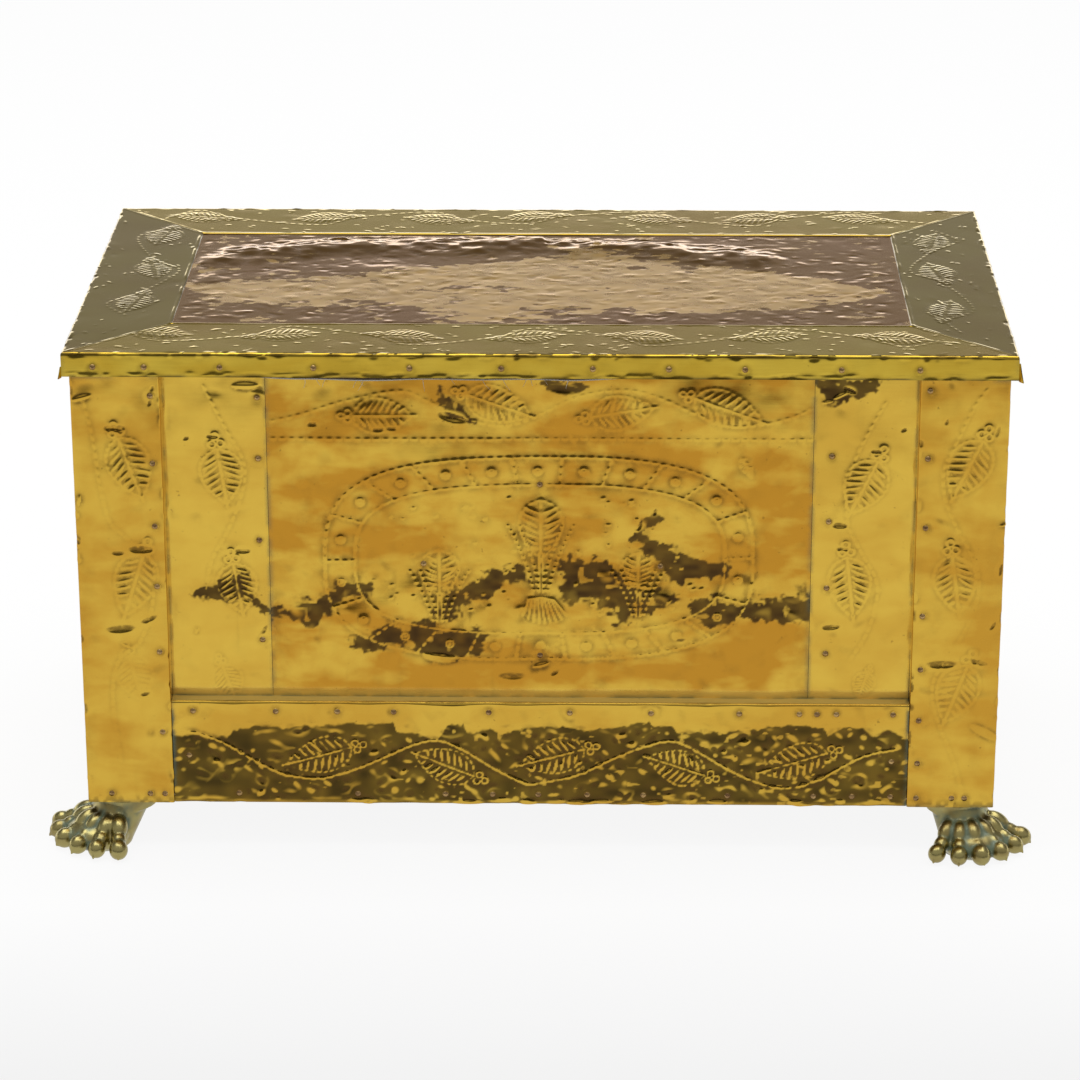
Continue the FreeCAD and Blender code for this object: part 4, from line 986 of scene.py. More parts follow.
def railSheet():
    node = "rail_sheet"
    low, high = boxOf(node)
    root = frontFace - railForm["inset"]
    corners = [(root, low[2]), (low[1], low[2]), (low[1], high[2]), (root, high[2])]
    line = foldedLine(corners, railForm["fold"], railForm["step"], -1)
    half = (high[0] - low[0]) / 2 + railForm["lap"]
    base, normal, u, at = levelGrid(line, np.full(len(line[0]), half), railForm["step"])
    lead = abs(root - low[1])
    v = np.repeat((at - lead + low[2])[None, :], len(u), axis=0)
    relief = newRelief(u, v)
    sprigsAt(relief, railSpot, railForm["sprigs"], railForm["sprigWidth"])
    ridge(relief, smoothLine(spots(railSpot, railForm["stem"])), *railForm["stemLine"])
    front = ease((v - low[2]) / railForm["edge"]) * ease((high[2] - v) / railForm["edge"])
    # Below the shade line the rail is painted dark: a painted reflection of the dim floor, partly tarnish.
    along, top = np.array(spots(railSpot, railForm["shade"])).T
    reach = np.interp(u, along, top) - v + 1.2 * clouds(u, v, 330, 5) + 0.8 * clouds(u, v, 331, 2.2)
    rubbed = 0.6 + 0.4 * ease((v - low[2] - 1) / 2)
    relief["tarnish"] = ease(reach / 1.6 + 0.5) * rubbed * (0.9 + 0.1 * clouds(u, v, 332, 7, 1.5))
    relief["tarnish"] *= 1 - 0.8 * ease((clouds(u, v, 333, 3.4, 1.6) - 0.74 + 0.2 * u / half) / 0.1)
    # The ledge is matt and painted gold: painted light in place of its dark reflection.
    relief["dull"] = ease((v - high[2] + 0.4) / 0.8)
    relief["stain"] = ease((v - high[2] - lead + 3) / 1.5)
    sway(relief, 45, railForm["sways"])
    dents(relief, 46, **railForm["dents"])
    knocks = newRelief(u, v)
    dents(knocks, 48, **railForm["knocks"])
    relief["h"] += knocks["h"] * ease((high[2] - railForm["knocksBelow"] - v) / 10)
    relief["h"] *= front
    relief["swell"] = (relief["swell"] + railForm["lift"]) * front
    rng = np.random.default_rng(47)
    for _ in range(railForm["footLumps"]):
        spot = (rng.uniform(-half, half), low[2] + rng.uniform(-1, 3))
        lump(relief, rng, spot, **railForm["footLump"])
    seatPins(relief, [(p[0], p[2]) for p in pins["rail_pins"]])
    makeSheet("railSheet", node, "case", railBrass, base, normal, relief)


railSheet()

# Ends: one plain sheet each, turned on to the back.
endForm = dict(step=1.7, fold=1.6, sways=((170, 0.4, 3), (60, 0.15, 4)), lift=0.25,
               dents=dict(count=60, sizes=(5, 16), depths=(0.1, 0.4)), turn=6, pinMargin=7)


def endSheet(name, node, sign, seed):
    low, high = boxOf(node)
    face, inner = (high[0], low[0]) if sign > 0 else (low[0], high[0])
    corners = [(face, low[1]), (face, high[1]), (inner, high[1])]
    if sign < 0:
        corners.reverse()
    line = foldedLine(corners, endForm["fold"], endForm["step"], 1)
    base, normal, at, z = uprightGrid(line, low[2], high[2], endForm["step"])
    u = np.repeat(at[:, None], len(z), axis=1)
    relief = newRelief(u, base[:, :, 2])
    sway(relief, seed, endForm["sways"])
    relief["swell"] += endForm["lift"]
    dents(relief, seed + 1, **endForm["dents"])
    lead = abs(corners[1][0] - corners[0][0]) + abs(corners[1][1] - corners[0][1])
    turned = ease(sign * (u - lead) / endForm["turn"] + 0.5)
    relief["h"] *= 1 - 0.85 * turned
    relief["swell"] *= 1 - turned
    seats = []
    for p in pins["end_pins"]:
        if p[0] * sign < 0:
            continue
        if p[1] > high[1] - endForm["pinMargin"]:
            seats.append((lead + (abs(face) - abs(p[0])) if sign > 0 else abs(p[0]) - abs(inner), p[2]))
        else:
            seats.append((p[1] - low[1] if sign > 0 else at[-1] - (p[1] - low[1]), p[2]))
    seatPins(relief, seats)
    makeSheet(name, node, "case", stileBrass, base, normal, relief)


endSheet("leftEndSheet", "left_end_sheet", -1, 51)
endSheet("rightEndSheet", "right_end_sheet", 1, 55)
print("rail and ends clad")

# Lid: a buckled, hammered field inside four mitred borders turned down over the edge.
frontLow, frontHigh = boxOf("lid_front_border")
lidWidth = frontHigh[1] - frontLow[1]
halfX, halfY = frontHigh[0], -frontLow[1]
lidTop, lidFoot = frontHigh[2], frontLow[2]
lidSpot = lambda px, py: onLid(px, py, lidTop)

# The streaks are low folds that fall away behind, by height and line; the dull middle is painted a flaked
# tan, a painted reflection of the pale wall that also reads as worn patina.
fieldForm = dict(
    step=1.18, coarse=8.0, under=2, edge=7,
    streaks=((1.75, ((188, 262), (224, 250), (290, 244), (345, 240), (470, 241), (524, 238), (576, 242),
                     (660, 246), (750, 252), (790, 256))),
             (0.5, ((176, 280), (192, 277), (224, 269), (240, 266))),
             (0.45, ((325, 264), (350, 262), (413, 266), (425, 268)))),
    fade=30, front=(48, 38), back=(10, 24),
    dull=((196, 285), (232, 279), (271, 278), (345, 274), (418, 269), (487, 261), (540, 256), (576, 253),
          (655, 258), (734, 269), (813, 279), (878, 291), (871, 299), (787, 308), (734, 313), (655, 308),
          (576, 308), (505, 318), (480, 322), (446, 321), (418, 308), (345, 300), (271, 303), (224, 293)),
    dullSeed=71, flakes=((9, 0, 26, 1.8), (9, 1, 10, 1.9), (11, 2, 4.5, 1.9), (6, 4, 2.4, 1.8)),
    hammered=(dict(seed=62, count=2300, sizes=(1.5, 3.6), depths=(0.04, 0.16), ups=0.5),
              dict(seed=63, count=700, sizes=(1.6, 3.4), depths=(0.1, 0.26), ups=0.6)),
    sways=((80, 0.04, 4), (34, 0.03, 5)))


def lidField():
    node = "lid_top_sheet"
    high = boxOf(node)[1]
    shownX, shownY = halfX - lidWidth + fieldForm["under"], halfY - lidWidth + fieldForm["under"]

    def run(reach, shown):
        fine = np.linspace(-shown, shown, int(round(2 * shown / fieldForm["step"])) + 1)
        outer = np.linspace(shown, reach - 0.3, int((reach - shown) / fieldForm["coarse"]) + 1)[1:]
        return np.concatenate([-outer[::-1], fine, outer])

    xs, ys = run(high[0], shownX), run(high[1], shownY)
    base = np.zeros((len(xs), len(ys), 3))
    base[:, :, 0] = xs[:, None]
    base[:, :, 1] = ys[None, :]
    base[:, :, 2] = high[2]
    normal = np.zeros_like(base)
    normal[:, :, 2] = 1
    relief = newRelief(base[:, :, 0], base[:, :, 1])
    u, v = relief["u"], relief["v"]
    broken = 0.9 + 0.4 * clouds(u, v, 64, 26) + 0.35 * clouds(u, v, 65, 9)
    (ahead, climb), (behind, drop) = fieldForm["front"], fieldForm["back"]
    for rise, line in fieldForm["streaks"]:
        along, back = np.array(spots(lidSpot, line)).T
        crest = np.interp(u, along, back) + 4 * clouds(u, u * 0, 66, 22) + 2.5 * clouds(u, u * 0, 67, 9)
        ragged = crest + 7.0 * clouds(u, v, 68, 6, 1.8) + 3.5 * clouds(u, v, 69, 3, 1.6)
        ends = ease((u - along[0]) / fieldForm["fade"]) * ease((along[-1] - u) / fieldForm["fade"])
        fold = ends * rise * broken * ease((v - crest + ahead) / climb)
        relief["h"] += fold * (1 - ease((v - ragged + behind) / drop))
    # Painted reflection of the pale wall: a matt, flaked tan zone inside the outline.
    patch = np.clip(insideOf(u, v, spots(lidSpot, fieldForm["dull"])), -16, 13)
    flakes = layers(u, v, fieldForm["dullSeed"], fieldForm["flakes"])
    relief["dull"] = ease((patch + flakes + 2) / 2.4 + 0.5) * (0.82 + 0.18 * clouds(u, v, 74, 5, 1.6))
    for blows in fieldForm["hammered"]:
        dents(relief, **blows)
    sway(relief, 61, fieldForm["sways"])
    inside = np.minimum(halfX - np.abs(u), halfY - np.abs(v)) - lidWidth
    for part in ("h", "swell"):
        relief[part] *= ease(inside / fieldForm["edge"])
    makeSheet("lidField", node, "lid", lidBrass, base, normal, relief)


lidField()

# Borders: each call lists the middles of its leaves by the photograph's pixels.
borderForm = dict(step=1.02, fold=1.5, closer=5, leaf=41, leafWidth=27, lean=0.2, rise=0.36, stem=0.16,
                  bead=0.34, roll=0.65, mitre=0.15, soil=0.8, rim=0.75,
                  sways=((120, 0.07, 3), (40, 0.03, 4)), lipRise=0.22, deepest=-0.7, pinMargin=8,
                  stemBack=(26, 2), stemOn=(2, 19), stemLimits=(7, 8), dentEach=6, lumpEach=2.6,
                  fleck=dict(long=(3, 9), wide=(1.8, 3), turn=0.4, rise=(0.1, 0.3)),
                  lipLump=dict(long=(3, 15), wide=(2.5, 4.5), turn=0.08, rise=(-0.34, 0.36)),
                  footLump=dict(long=(6, 22), wide=(2.2, 3.6), rise=(-0.2, 0.35)))


# A border's bead and mitre, and its painted dark: patches along the top fold that break up its highlight, a
# painted shadow line along the lip's foot, and darker towards the inner edge.
def borderWear(relief, halfLong, seed):
    u, v, width = relief["u"], relief["v"], lidWidth
    uneven = np.clip(0.7 + 0.7 * clouds(u, v, seed + 2, 12), 0, 1)
    bead = borderForm["bead"] * uneven * np.exp(-(((v - (width - 2.4)) / 1.2) ** 2))
    relief["h"] += bead - borderForm["roll"] * ease((v - width + 1.8) / 1.8)
    mitre = (halfLong - v - np.abs(u)) / math.sqrt(2)
    relief["h"] += np.where(v > 0, borderForm["mitre"] * uneven * np.exp(-(((mitre - 1.4) / 1.1) ** 2)), 0)
    foldShade = ease(clouds(u, v, seed + 3, 7, 1.5) / 0.5 + 0.4) * np.exp(-(((v + 0.6) / 1.6) ** 2))
    soiled = ease(clouds(u, v, seed + 4, 9, 2) / 0.5 + 0.8) * np.exp(-(((v - lidFoot + lidTop) / 1.2) ** 2))
    dirt = borderForm["soil"] * np.maximum(foldShade, soiled)
    relief["tarnish"] = np.maximum(dirt, borderForm["rim"] * ease((v - width + 2.6) / 1.6))


def lidBorder(name, node, material, halfLong, halfDeep, turn, leaves, flecks, seed):
    width = lidWidth
    corners = [(-halfDeep, lidFoot), (-halfDeep, lidTop), (-halfDeep + width, lidTop)]
    line = foldedLine(corners, borderForm["fold"], borderForm["step"], -1, borderForm["closer"])
    inward = line[1][:, 0] + halfDeep
    halves = halfLong - np.where(line[1][:, 1] > lidTop - 1e-6, inward, np.minimum(inward, 0.4)) - 0.1
    base, normal, u, at = levelGrid(line, halves, borderForm["step"], turn)
    v = np.repeat((at - (lidTop - lidFoot))[None, :], len(u), axis=0)
    relief = newRelief(u, v)
    c, s = math.cos(-turn), math.sin(-turn)
    local = lambda x, y: (c * x - s * y, s * x + c * y + halfDeep)
    rng = np.random.default_rng(seed)
    stem, long = [], borderForm["leaf"]
    (behind, dip), (past, climb) = borderForm["stemBack"], borderForm["stemOn"]
    outmost, inmost = borderForm["stemLimits"]
    for k, (x, y) in enumerate(sorted(local(*lidSpot(*spot)) for spot in leaves)):
        up = 1 if k % 2 else -1
        lean = borderForm["lean"] * up
        foot = (x - 0.5 * long * math.cos(lean), y - 0.5 * long * math.sin(lean))
        sprig(relief, foot, lean, long, borderForm["leafWidth"], borderForm["rise"])
        stem += [(x - behind, y - up * dip), (x + past, min(width - inmost, max(outmost, y + up * climb)))]
    first, last = 2 * stem[0][0] - stem[1][0], 2 * stem[-1][0] - stem[-2][0]
    vine(relief, [(first, width / 2)] + stem + [(last, width / 2)], borderForm["stem"])
    for _ in range(flecks):
        spot = (rng.uniform(-halfLong, halfLong), rng.uniform(4, width - 4))
        lump(relief, rng, spot, **borderForm["fleck"])
    borderWear(relief, halfLong, seed)
    sway(relief, seed, borderForm["sways"])
    dents(relief, seed + 1, int(halfLong / borderForm["dentEach"]), (3, 9), (0.03, 0.1))
    for _ in range(int(halfLong / borderForm["lumpEach"])):
        spot = (rng.uniform(-halfLong, halfLong), rng.uniform(-2.5, 2))
        lump(relief, rng, spot, **borderForm["lipLump"])
        spot = (rng.uniform(-halfLong, halfLong), lidFoot - lidTop + rng.uniform(-0.5, 3))
        lump(relief, rng, spot, **borderForm["footLump"])
    relief["h"] = np.where(v < 0, np.minimum(relief["h"], borderForm["lipRise"]), relief["h"])
    mine = []
    for p in pins["lid_pins"]:
        x, y = c * p[0] - s * p[1], s * p[0] + c * p[1]
        if y < -halfDeep + borderForm["pinMargin"]:
            mine.append((x, p[2] - lidTop))
    seatPins(relief, mine)
    makeSheet(name, node, "lid", material, base, normal, relief, borderForm["deepest"])


lidBorder("lidFrontBorder", "lid_front_border", borderBrass, halfX, halfY, 0,
          ((160, 333), (287, 335), (410, 337), (533, 337), (650, 338), (775, 337), (900, 339)), 170, 71)
lidBorder("lidBackBorder", "lid_back_border", borderBrass, halfX, halfY, math.pi,
          ((200, 217), (323, 218), (433, 219), (530, 217), (650, 219), (753, 219), (853, 219)), 170, 75)
lidBorder("lidLeftBorder", "lid_left_border", sideBrass, halfY, halfX, -math.pi / 2,
          ((163, 237), (153, 270), (133, 303)), 60, 79)
lidBorder("lidRightBorder", "lid_right_border", sideBrass, halfY, halfX, math.pi / 2,
          ((933, 242), (937, 272), (948, 310)), 60, 83)

# Loose laps of sheet at the lid's front corners; the left one is smaller.
flapForm = dict(tall=13, wide=5.5, thick=0.7, lift=26, leftShare=0.6, grid=(6, 10))


def cornerFlap(name, sign, share):
    tall, lift = share * flapForm["tall"], share * flapForm["lift"]
    clearSelection()
    columns, rows = flapForm["grid"]
    bpy.ops.mesh.primitive_grid_add(x_subdivisions=columns, y_subdivisions=rows, size=1)
    piece = bpy.context.object
    piece.name = piece.data.name = name
    for corner in piece.data.vertices:
        across, up = corner.co.x + 0.5, corner.co.y + 0.5
        wide = flapForm["wide"] * (0.35 + 0.65 * (1 - up) ** 0.7)
        out = across * wide * math.sin(math.radians(lift * (0.4 + 0.6 * across) * (1.1 - 0.8 * up)))
        x, y = sign * (halfX + 0.25 + out), -halfY + 0.4 - across * wide * 0.75
        corner.co = (x * mm, y * mm, (lidFoot - 0.6 + up * tall) * mm)
    thicken(piece, flapForm["thick"], 0)
    faceOutward()
    bpy.ops.object.shade_smooth_by_angle(angle=math.radians(40))
    piece.data.materials.append(borderBrass)
    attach(piece, "lid")


cornerFlap("rightCornerFlap", 1, 1)
cornerFlap("leftCornerFlap", -1, flapForm["leftShare"])
print("lid clad")

# Lining: one cloth glued under the lid board, its front hem loose and frayed.
liningForm = dict(columnStep=4.0, rowStep=3, thick=0.75, hem=13, sag=2.6, loose=(-205, 70), fades=(40, 60),
                  puff=0.08, threads=15)
liningLook = dict(dark=(0.50, 0.45, 0.37), light=(0.66, 0.62, 0.54), stain=16, weave=280, weaveShade=0.3,
                  bump=0.5, thread=0.0004, rough=0.9, sheen=0.25)
liningLow, liningHigh = boxOf("lid_lining")
liningWidth, liningDepth = liningHigh[0] - liningLow[0], liningHigh[1] - liningLow[1]


def lidLining():
    clearSelection()
    columns = int(round(liningWidth / liningForm["columnStep"]))
    rows = int(round(liningDepth / liningForm["rowStep"]))
    bpy.ops.mesh.primitive_grid_add(x_subdivisions=columns, y_subdivisions=rows, size=1)
    piece = bpy.context.object
    piece.name = piece.data.name = "lidLiningCloth"
    phases = np.random.default_rng(90).uniform(0, 6.3, 4)
    (start, stop), (rise, fall) = liningForm["loose"], liningForm["fades"]
    hem = liningForm["hem"]
    for corner in piece.data.vertices:
        x = liningLow[0] + (corner.co.x + 0.5) * liningWidth
        y = liningLow[1] + (corner.co.y + 0.5) * liningDepth
        free = float(ease((x - start) / rise) * ease((stop - x) / fall))
        free *= float(ease((liningLow[1] + hem - y) / hem))
        wave = 0.7 + 0.3 * math.sin(x / 17 + phases[0]) * math.sin(x / 41 + phases[1])
        puff = liningForm["puff"] * math.sin(x / 37 + phases[2]) * math.sin(y / 29 + phases[3])
        corner.co = (x * mm, y * mm, (liningHigh[2] - 0.1 + puff - free * liningForm["sag"] * wave) * mm)
    thicken(piece, liningForm["thick"], -1)
    bpy.ops.object.shade_smooth_by_angle(angle=math.radians(50))
    return piece


def clothMaterial():
    material, tree, link, shader = newMaterial("liningCloth")
    place = tree.new("ShaderNodeTexCoord").outputs["Object"]
    weave = []
    for direction in ("X", "Y"):
        wave = tree.new("ShaderNodeTexWave")
        wave.bands_direction = direction
        wave.inputs["Scale"].default_value = liningLook["weave"]
        wave.inputs["Distortion"].default_value = 0.6
        wave.inputs["Detail"].default_value = 1
        link(place, wave.inputs["Vector"])
        weave.append(wave.outputs["Fac"])
    thread = mathNode(tree, link, "MAXIMUM", *weave)
    stain = noiseNode(tree, link, place, liningLook["stain"], 5).outputs["Fac"]
    tone = toneNode(tree, link, stain, 0.35, 0.65, liningLook["dark"], liningLook["light"])
    shade = mixNode(tree, link, liningLook["weaveShade"], tone, thread, "MULTIPLY")
    link(shade, shader.inputs["Base Color"])
    bumpNode(tree, link, thread, liningLook["bump"], liningLook["thread"], shader)
    shader.inputs["Roughness"].default_value = liningLook["rough"]
    shader.inputs["Sheen Weight"].default_value = liningLook["sheen"]
    return material


liningCloth = clothMaterial()
cloth = lidLining()
cloth.data.materials.append(liningCloth)


# A few threads hang from the hem, each a short bent strand.
def hemThreads():
    rng = np.random.default_rng(91)
    start, stop = liningForm["loose"]
    top = liningHigh[2] - 0.9 - liningForm["sag"] * 0.6
    strands = []
    for _ in range(liningForm["threads"]):
        clearSelection()
        long = rng.uniform(3, 9)
        x, y = rng.uniform(start + 20, stop - 30), liningLow[1] + rng.uniform(1.2, 3)
        drop = np.array([rng.normal(0, 0.6), -0.15, -1.0])
        bpy.ops.mesh.primitive_cone_add(vertices=5, radius1=0.22 * mm, radius2=0.1 * mm, depth=long * mm)
        strand = bpy.context.object
        bpy.ops.object.mode_set(mode="EDIT")
        bpy.ops.mesh.select_all(action="SELECT")
        bpy.ops.mesh.subdivide(number_cuts=4)
        bpy.ops.object.mode_set(mode="OBJECT")
        bend = rng.normal(0, 0.25)
        for corner in strand.data.vertices:
            down = 0.5 + corner.co.z / (long * mm)
            way = drop * down * long + np.array([bend * long * down * down, 0, 0])
            side, out = corner.co.x + (x + way[0]) * mm, corner.co.y + (y + way[1]) * mm
            corner.co = (side, out, (top + way[2]) * mm)
        strands.append(strand)
    threads = joinAll(strands)
    threads.name = threads.data.name = "liningThreads"
    faceOutward()
    threads.data.materials.append(liningCloth)
    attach(threads, "lid")
    return threads


threads = hemThreads()
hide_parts("lid_lining")
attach(cloth, "lid")
print("lining laid")

# Feet: a collar and a leg drawn forward, and a fan of toes, each rib, knuckle, ball and claw, cast as one
# with old green left in the grooves. Sizes are in mm, the foot pointing along X from its ankle.
pawForm = dict(voxel=0.8, smooth=13, grooveDepth=0.55, grooveReach=22, tall=34, collar=(22.6, 9.5),
               throat=21, sole=18.5, soleForward=19, legBelow=4, pad=(22, 22, 13), padAt=(22, 0, 4),
               instep=(23, 25, 12), instepAt=(27, 0, 8), toes=6, spread=20.5, fanForward=6, start=11,
               reach=44.5, top=24.5, ballHeight=7.4, rib=(15, 5.2, 5.0), knuckle=(10, 6.1, 6.6),
               knuckleShare=0.46, neck=(7, 5.4, 5.4), neckShare=0.77, ball=(7.6, 6.5, 6.9), ballTilt=0.25,
               claw=(2.4, 0.7, 5.0), clawForward=6.6, clawDrop=3.2, clawTilt=math.radians(140),
               turns=dict(frontLeft=2, frontRight=19, backLeft=12, backRight=6))


def pawSolids():
    made = []
    form = pawForm

    def blob(at, halves, turn=0.0, tilt=0.0):
        bpy.ops.mesh.primitive_uv_sphere_add(segments=28, ring_count=16, radius=1, rotation=(0, tilt, turn),
                                             location=np.array(at) * mm, scale=np.array(halves) * mm)
        made.append(bpy.context.object)

    clearSelection()
    radius, deep = form["collar"]
    bpy.ops.mesh.primitive_cylinder_add(vertices=72, radius=radius * mm, depth=deep * mm,
                                        location=(0, 0, (form["tall"] - deep / 2) * mm))
    made.append(bpy.context.object)
    legTall = form["tall"] - form["legBelow"]
    bpy.ops.mesh.primitive_cone_add(vertices=72, radius1=form["sole"] * mm, radius2=form["throat"] * mm,
                                    depth=legTall * mm)
    leg = bpy.context.object
    for corner in leg.data.vertices:
        high = corner.co.z / mm + legTall / 2
        corner.co.x += form["soleForward"] * (1 - high / form["tall"]) * mm
        corner.co.z = high * mm
    made.append(leg)
    blob(form["padAt"], form["pad"])
    blob(form["instepAt"], form["instep"])
    fall, span = form["top"] - form["ballHeight"], form["reach"] - form["start"]
    slope = math.atan2(fall, span)
    rng = np.random.default_rng(95)
    for index in range(form["toes"]):
        turn = math.radians(form["spread"]) * (index - (form["toes"] - 1) / 2)
        ahead = np.array([math.cos(turn), math.sin(turn), 0])
        along = lambda share, lift=0.0: (np.array([form["fanForward"], 0, form["top"] - share * fall + lift])
                                         + ahead * (form["start"] + share * span))
        size = 1 + rng.normal(0, 0.04)
        blob(along(0.1), form["rib"], turn, slope)
        blob(along(form["knuckleShare"], 0.6), np.array(form["knuckle"]) * size, turn, slope)
        blob(along(form["neckShare"], -0.2), form["neck"], turn, slope)
        blob(along(1.0), np.array(form["ball"]) * size, turn, form["ballTilt"])
        thick, tip, long = form["claw"]
        clawAt = along(1.0) + ahead * form["clawForward"] + np.array([0, 0, -form["clawDrop"]])
        bpy.ops.mesh.primitive_cone_add(vertices=20, radius1=thick * mm, radius2=tip * mm, depth=long * mm,
                                        location=clawAt * mm, rotation=(0, form["clawTilt"], turn))
        made.append(bpy.context.object)
    return made


# Depth of each place in the casting's grooves: how far a much calmed copy of the surface stands over it.
def grooveDepth(mesh):
    points, facing = readPoints(mesh) / mm, readPoints(mesh, "normal")
    ends = np.zeros(len(mesh.edges) * 2, int)
    mesh.edges.foreach_get("vertices", ends)
    a, b = ends.reshape(-1, 2).T
    count = len(points)
    shared = np.bincount(np.concatenate([a, b]), minlength=count)[:, None]
    calm = points.copy()
    for _ in range(pawForm["grooveReach"]):
        total = np.stack([np.bincount(a, calm[b, k], count) + np.bincount(b, calm[a, k], count)
                          for k in range(3)], axis=1)
        calm = 0.5 * calm + 0.5 * total / shared
    return ((calm - points) * facing).sum(axis=1) / pawForm["grooveDepth"]


def pawMaster():
    paw = joinAll(pawSolids())
    bpy.ops.object.transform_apply(location=True, rotation=True, scale=True)
    bpy.ops.object.modifier_add(type="REMESH")
    fine = paw.modifiers[-1]
    fine.mode = "VOXEL"
    fine.voxel_size = pawForm["voxel"] * mm
    bpy.ops.object.modifier_apply(modifier=fine.name)
    bpy.ops.object.modifier_add(type="SMOOTH")
    soft = paw.modifiers[-1]
    soft.factor, soft.iterations = 0.5, pawForm["smooth"]
    bpy.ops.object.modifier_apply(modifier=soft.name)
    for height, lower in ((0.0, True), (pawForm["tall"] - 0.4, False)):
        bpy.ops.object.mode_set(mode="EDIT")
        bpy.ops.mesh.select_all(action="SELECT")
        bpy.ops.mesh.bisect(plane_co=(0, 0, height * mm), plane_no=(0, 0, 1), use_fill=True,
                            clear_inner=lower, clear_outer=not lower)
        bpy.ops.object.mode_set(mode="OBJECT")
    mesh = paw.data
    deep = grooveDepth(mesh)
    for title, values in (("seam", 0.6 + 1.7 * deep), ("hollow", deep)):
        mesh.attributes.new(title, "FLOAT", "POINT").data.foreach_set("value", np.clip(values, 0, 1))
    bpy.ops.object.shade_smooth_by_angle(angle=math.radians(60))
    mesh.materials.clear()
    mesh.materials.append(castBrass)
    return paw


def castPaws():
    paw = pawMaster()
    pawAnkle = np.abs(pinPlaces("foot_studs")[0][:2])
    for end, across in (("front", -1), ("back", 1)):
        for side, out in (("left", -1), ("right", 1)):
            node = end + "_" + side + "_paw"
            corner = end + side.capitalize()
            piece = bpy.data.objects.new(corner + "Paw", paw.data.copy())
            piece.data.name = piece.name
            bpy.context.collection.objects.link(piece)
            turn = math.atan2(across, out) - math.radians(pawForm["turns"][corner])
            ankle = Vector((out * pawAnkle[0] * mm, across * pawAnkle[1] * mm, 0))
            piece.data.transform(Matrix.Translation(ankle) @ Matrix.Rotation(turn, 4, "Z"))
            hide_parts(node)
            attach(piece, "case")
    bpy.data.objects.remove(paw)


castPaws()
print("paws cast")


# Pins, hinges and boards: finishes on the solids themselves.
def plainMetal(name, colour, dark, rough, scale):
    material, tree, link, shader = newMaterial(name)
    place = tree.new("ShaderNodeTexCoord").outputs["Object"]
    noise = noiseNode(tree, link, place, scale, 5).outputs["Fac"]
    link(toneNode(tree, link, noise, 0.36, 0.62, dark, colour), shader.inputs["Base Color"])
    link(spanNode(tree, link, noise, start=rough[0], stop=rough[1]), shader.inputs["Roughness"])
    bumpNode(tree, link, noise, 0.15, 0.0003, shader)
    shader.inputs["Metallic"].default_value = 1
    return material


pinMetal = plainMetal("pinMetal", (0.46, 0.30, 0.12), (0.20, 0.11, 0.05), (0.4, 0.2), 240)
hingeBrass = plainMetal("hingeBrass", (0.50, 0.38, 0.16), (0.26, 0.18, 0.07), (0.5, 0.25), 90)
screwSteel = plainMetal("screwSteel", (0.36, 0.35, 0.33), (0.14, 0.12, 0.11), (0.55, 0.3), 160)

# Wood, its grain drawn out along one axis.
woodLook = dict(dark=(0.12, 0.066, 0.031), light=(0.25, 0.15, 0.075), pore=(0.45, 0.42, 0.4), poreShade=0.7,
                drawn=0.12, rough=0.62)


def woodAlong(name, axis):
    material, tree, link, shader = newMaterial(name)
    place = tree.new("ShaderNodeTexCoord").outputs["Object"]

    def fibres(stretch, scale, detail, distortion):
        mapping = tree.new("ShaderNodeMapping")
        mapping.inputs["Scale"].default_value[axis] = woodLook["drawn"] * stretch
        link(place, mapping.inputs["Vector"])
        return noiseNode(tree, link, mapping.outputs["Vector"], scale, detail, distortion).outputs["Fac"]

    figure, pores = fibres(0.5, 34, 8, 0.5), fibres(0.14, 520, 2, 0.0)
    tone = toneNode(tree, link, figure, 0.34, 0.68, woodLook["dark"], woodLook["light"])
    lines = toneNode(tree, link, pores, 0.32, 0.55, woodLook["pore"], (1, 1, 1))
    shade = mixNode(tree, link, woodLook["poreShade"], tone, lines, "MULTIPLY")
    link(shade, shader.inputs["Base Color"])
    bumpNode(tree, link, pores, 0.25, 0.0006, shader)
    shader.inputs["Roughness"].default_value = woodLook["rough"]
    return material


woodX, woodY, woodZ = (woodAlong("woodAlong" + letter, axis) for axis, letter in enumerate("XYZ"))
finishes = (
    (woodX, ("front_board", "back_board", "bottom_board", "lid_board", "front_rail")),
    (woodY, ("left_end_board", "right_end_board")),
    (woodZ, ("front_left_batten", "front_right_batten", "back_left_batten", "back_right_batten",
             "left_stile", "right_stile")),
    (hingeBrass, ("left_hinge_case_leaf", "right_hinge_case_leaf", "left_hinge_lid_leaf",
                  "right_hinge_lid_leaf", "left_hinge_pin", "right_hinge_pin")),
    (pinMetal, pinNodes),
    (screwSteel, ("hinge_case_screws", "hinge_lid_screws", "carcass_nails", "foot_studs")))
for material, names in finishes:
    for name in names:
        nodes[name].data.materials.clear()
        nodes[name].data.materials.append(material)
print("wood and fittings finished")

# A white sweep under a broad soft light: a bright wall low behind, a dim room in front. Reflections see the
# sweep fade towards that room. Wall and room are strengths by height.
stage = dict(size=14, floor=0.86, rough=0.9, gloss=0.1, white=0.9, dusk=(-2.4, -0.95), dim=0.08,
             falloff=(-0.55, -0.28), near=0.88, overhead=95, overheadAt=(0, 0.7, 3.0),
             overheadSize=(3.4, 3.0), behind=2.2, facing=(-0.2, 0.35),
             room=((0.0, 0.1), (0.12, 0.1), (0.3, 0.55), (1.0, 0.6)),
             wall=((0.0, 1.0), (0.208, 1.0), (0.226, 0.21), (0.26, 0.19), (0.33, 0.175), (0.42, 0.11),
                   (0.6, 0.09)))


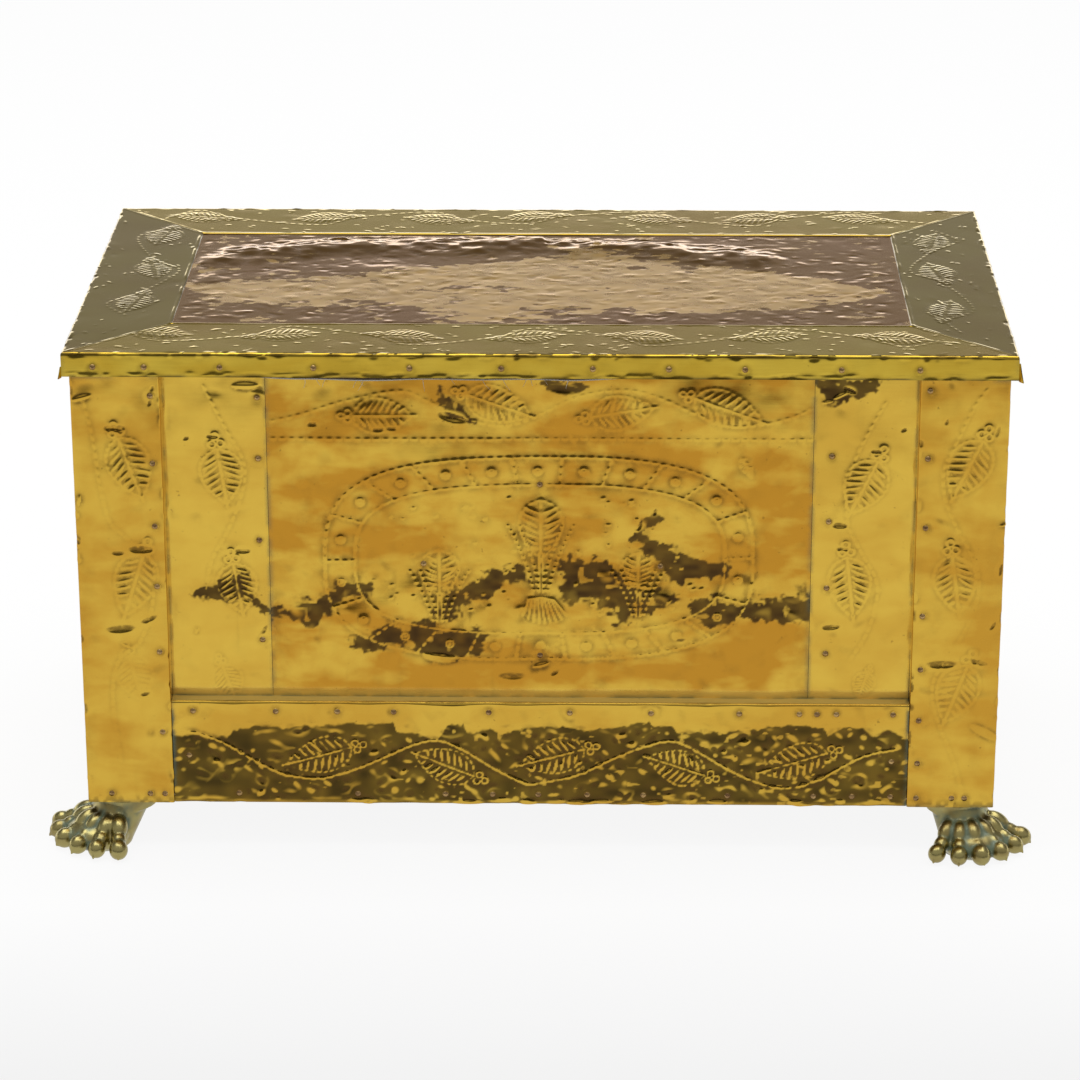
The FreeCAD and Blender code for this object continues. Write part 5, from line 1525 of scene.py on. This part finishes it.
def floorPlane():
    clearSelection()
    bpy.ops.mesh.primitive_plane_add(size=stage["size"], location=(0, 0, 0))
    floor = bpy.context.object
    floor.name = "floor"
    paint, tree, link, shader = newMaterial("floorPaint")
    shader.inputs["Base Color"].default_value = (stage["floor"],) * 3 + (1,)
    shader.inputs["Roughness"].default_value = stage["rough"]
    shader.inputs["Specular IOR Level"].default_value = stage["gloss"]
    white = tree.new("ShaderNodeEmission")
    ray = tree.new("ShaderNodeLightPath").outputs
    seen = mathNode(tree, link, "MAXIMUM", ray["Is Camera Ray"], ray["Is Glossy Ray"])
    seen = mathNode(tree, link, "MAXIMUM", seen, ray["Is Transmission Ray"])
    place = tree.new("ShaderNodeSeparateXYZ")
    link(tree.new("ShaderNodeTexCoord").outputs["Object"], place.inputs[0])
    reflected = spanNode(tree, link, place.outputs["Y"], *stage["dusk"], stage["dim"], smooth=True)
    # To the camera the floor's white is painted a little darker towards the front: a painted falloff of
    # light.
    direct = spanNode(tree, link, place.outputs["Y"], *stage["falloff"], stage["near"])
    strength = tree.new("ShaderNodeMix")
    link(ray["Is Camera Ray"], strength.inputs["Factor"])
    link(reflected, strength.inputs[2])
    link(direct, strength.inputs[3])
    link(strength.outputs[0], white.inputs["Strength"])
    blend = tree.new("ShaderNodeMixShader")
    link(mathNode(tree, link, "MULTIPLY", seen, stage["white"]), blend.inputs["Fac"])
    link(shader.outputs[0], blend.inputs[1])
    link(white.outputs[0], blend.inputs[2])
    link(blend.outputs[0], tree["Material Output"].inputs["Surface"])
    floor.data.materials.append(paint)


def roomLight():
    clearSelection()
    bpy.ops.object.light_add(type="AREA", location=stage["overheadAt"])
    overhead = bpy.context.object.data
    overhead.shape = "RECTANGLE"
    overhead.size, overhead.size_y = stage["overheadSize"]
    overhead.energy = stage["overhead"]
    world = bpy.context.scene.world or bpy.data.worlds.new("room")
    bpy.context.scene.world = world
    world.use_nodes = True
    tree, link = world.node_tree.nodes, world.node_tree.links.new
    look = tree.new("ShaderNodeSeparateXYZ")
    link(tree.new("ShaderNodeTexCoord").outputs["Generated"], look.inputs[0])

    def byHeight(steps):
        ramp = tree.new("ShaderNodeValToRGB")
        for k, (position, value) in enumerate(steps):
            stop = ramp.color_ramp.elements[k] if k < 2 else ramp.color_ramp.elements.new(position)
            stop.position, stop.color = position, (value, value, value, 1)
        link(look.outputs["Z"], ramp.inputs["Fac"])
        return ramp.outputs["Color"]

    glow = tree.new("ShaderNodeMix")
    link(spanNode(tree, link, look.outputs["Y"], *stage["facing"]), glow.inputs["Factor"])
    link(byHeight(stage["room"]), glow.inputs[2])
    link(mathNode(tree, link, "MULTIPLY", byHeight(stage["wall"]), stage["behind"]), glow.inputs[3])
    link(glow.outputs[0], tree["Background"].inputs["Strength"])
    tree["Background"].inputs["Color"].default_value = (1, 1, 1, 1)


floorPlane()
roomLight()

clearSelection()
bpy.ops.object.camera_add(location=viewpoint["place"], rotation=[math.radians(a) for a in viewpoint["turn"]])
camera = bpy.context.object
camera.data.lens = viewpoint["lens"]
camera.data.sensor_width = viewpoint["sensor"]
bpy.context.scene.camera = camera
bpy.context.scene.view_settings.view_transform = "Standard"
print("stage lit")
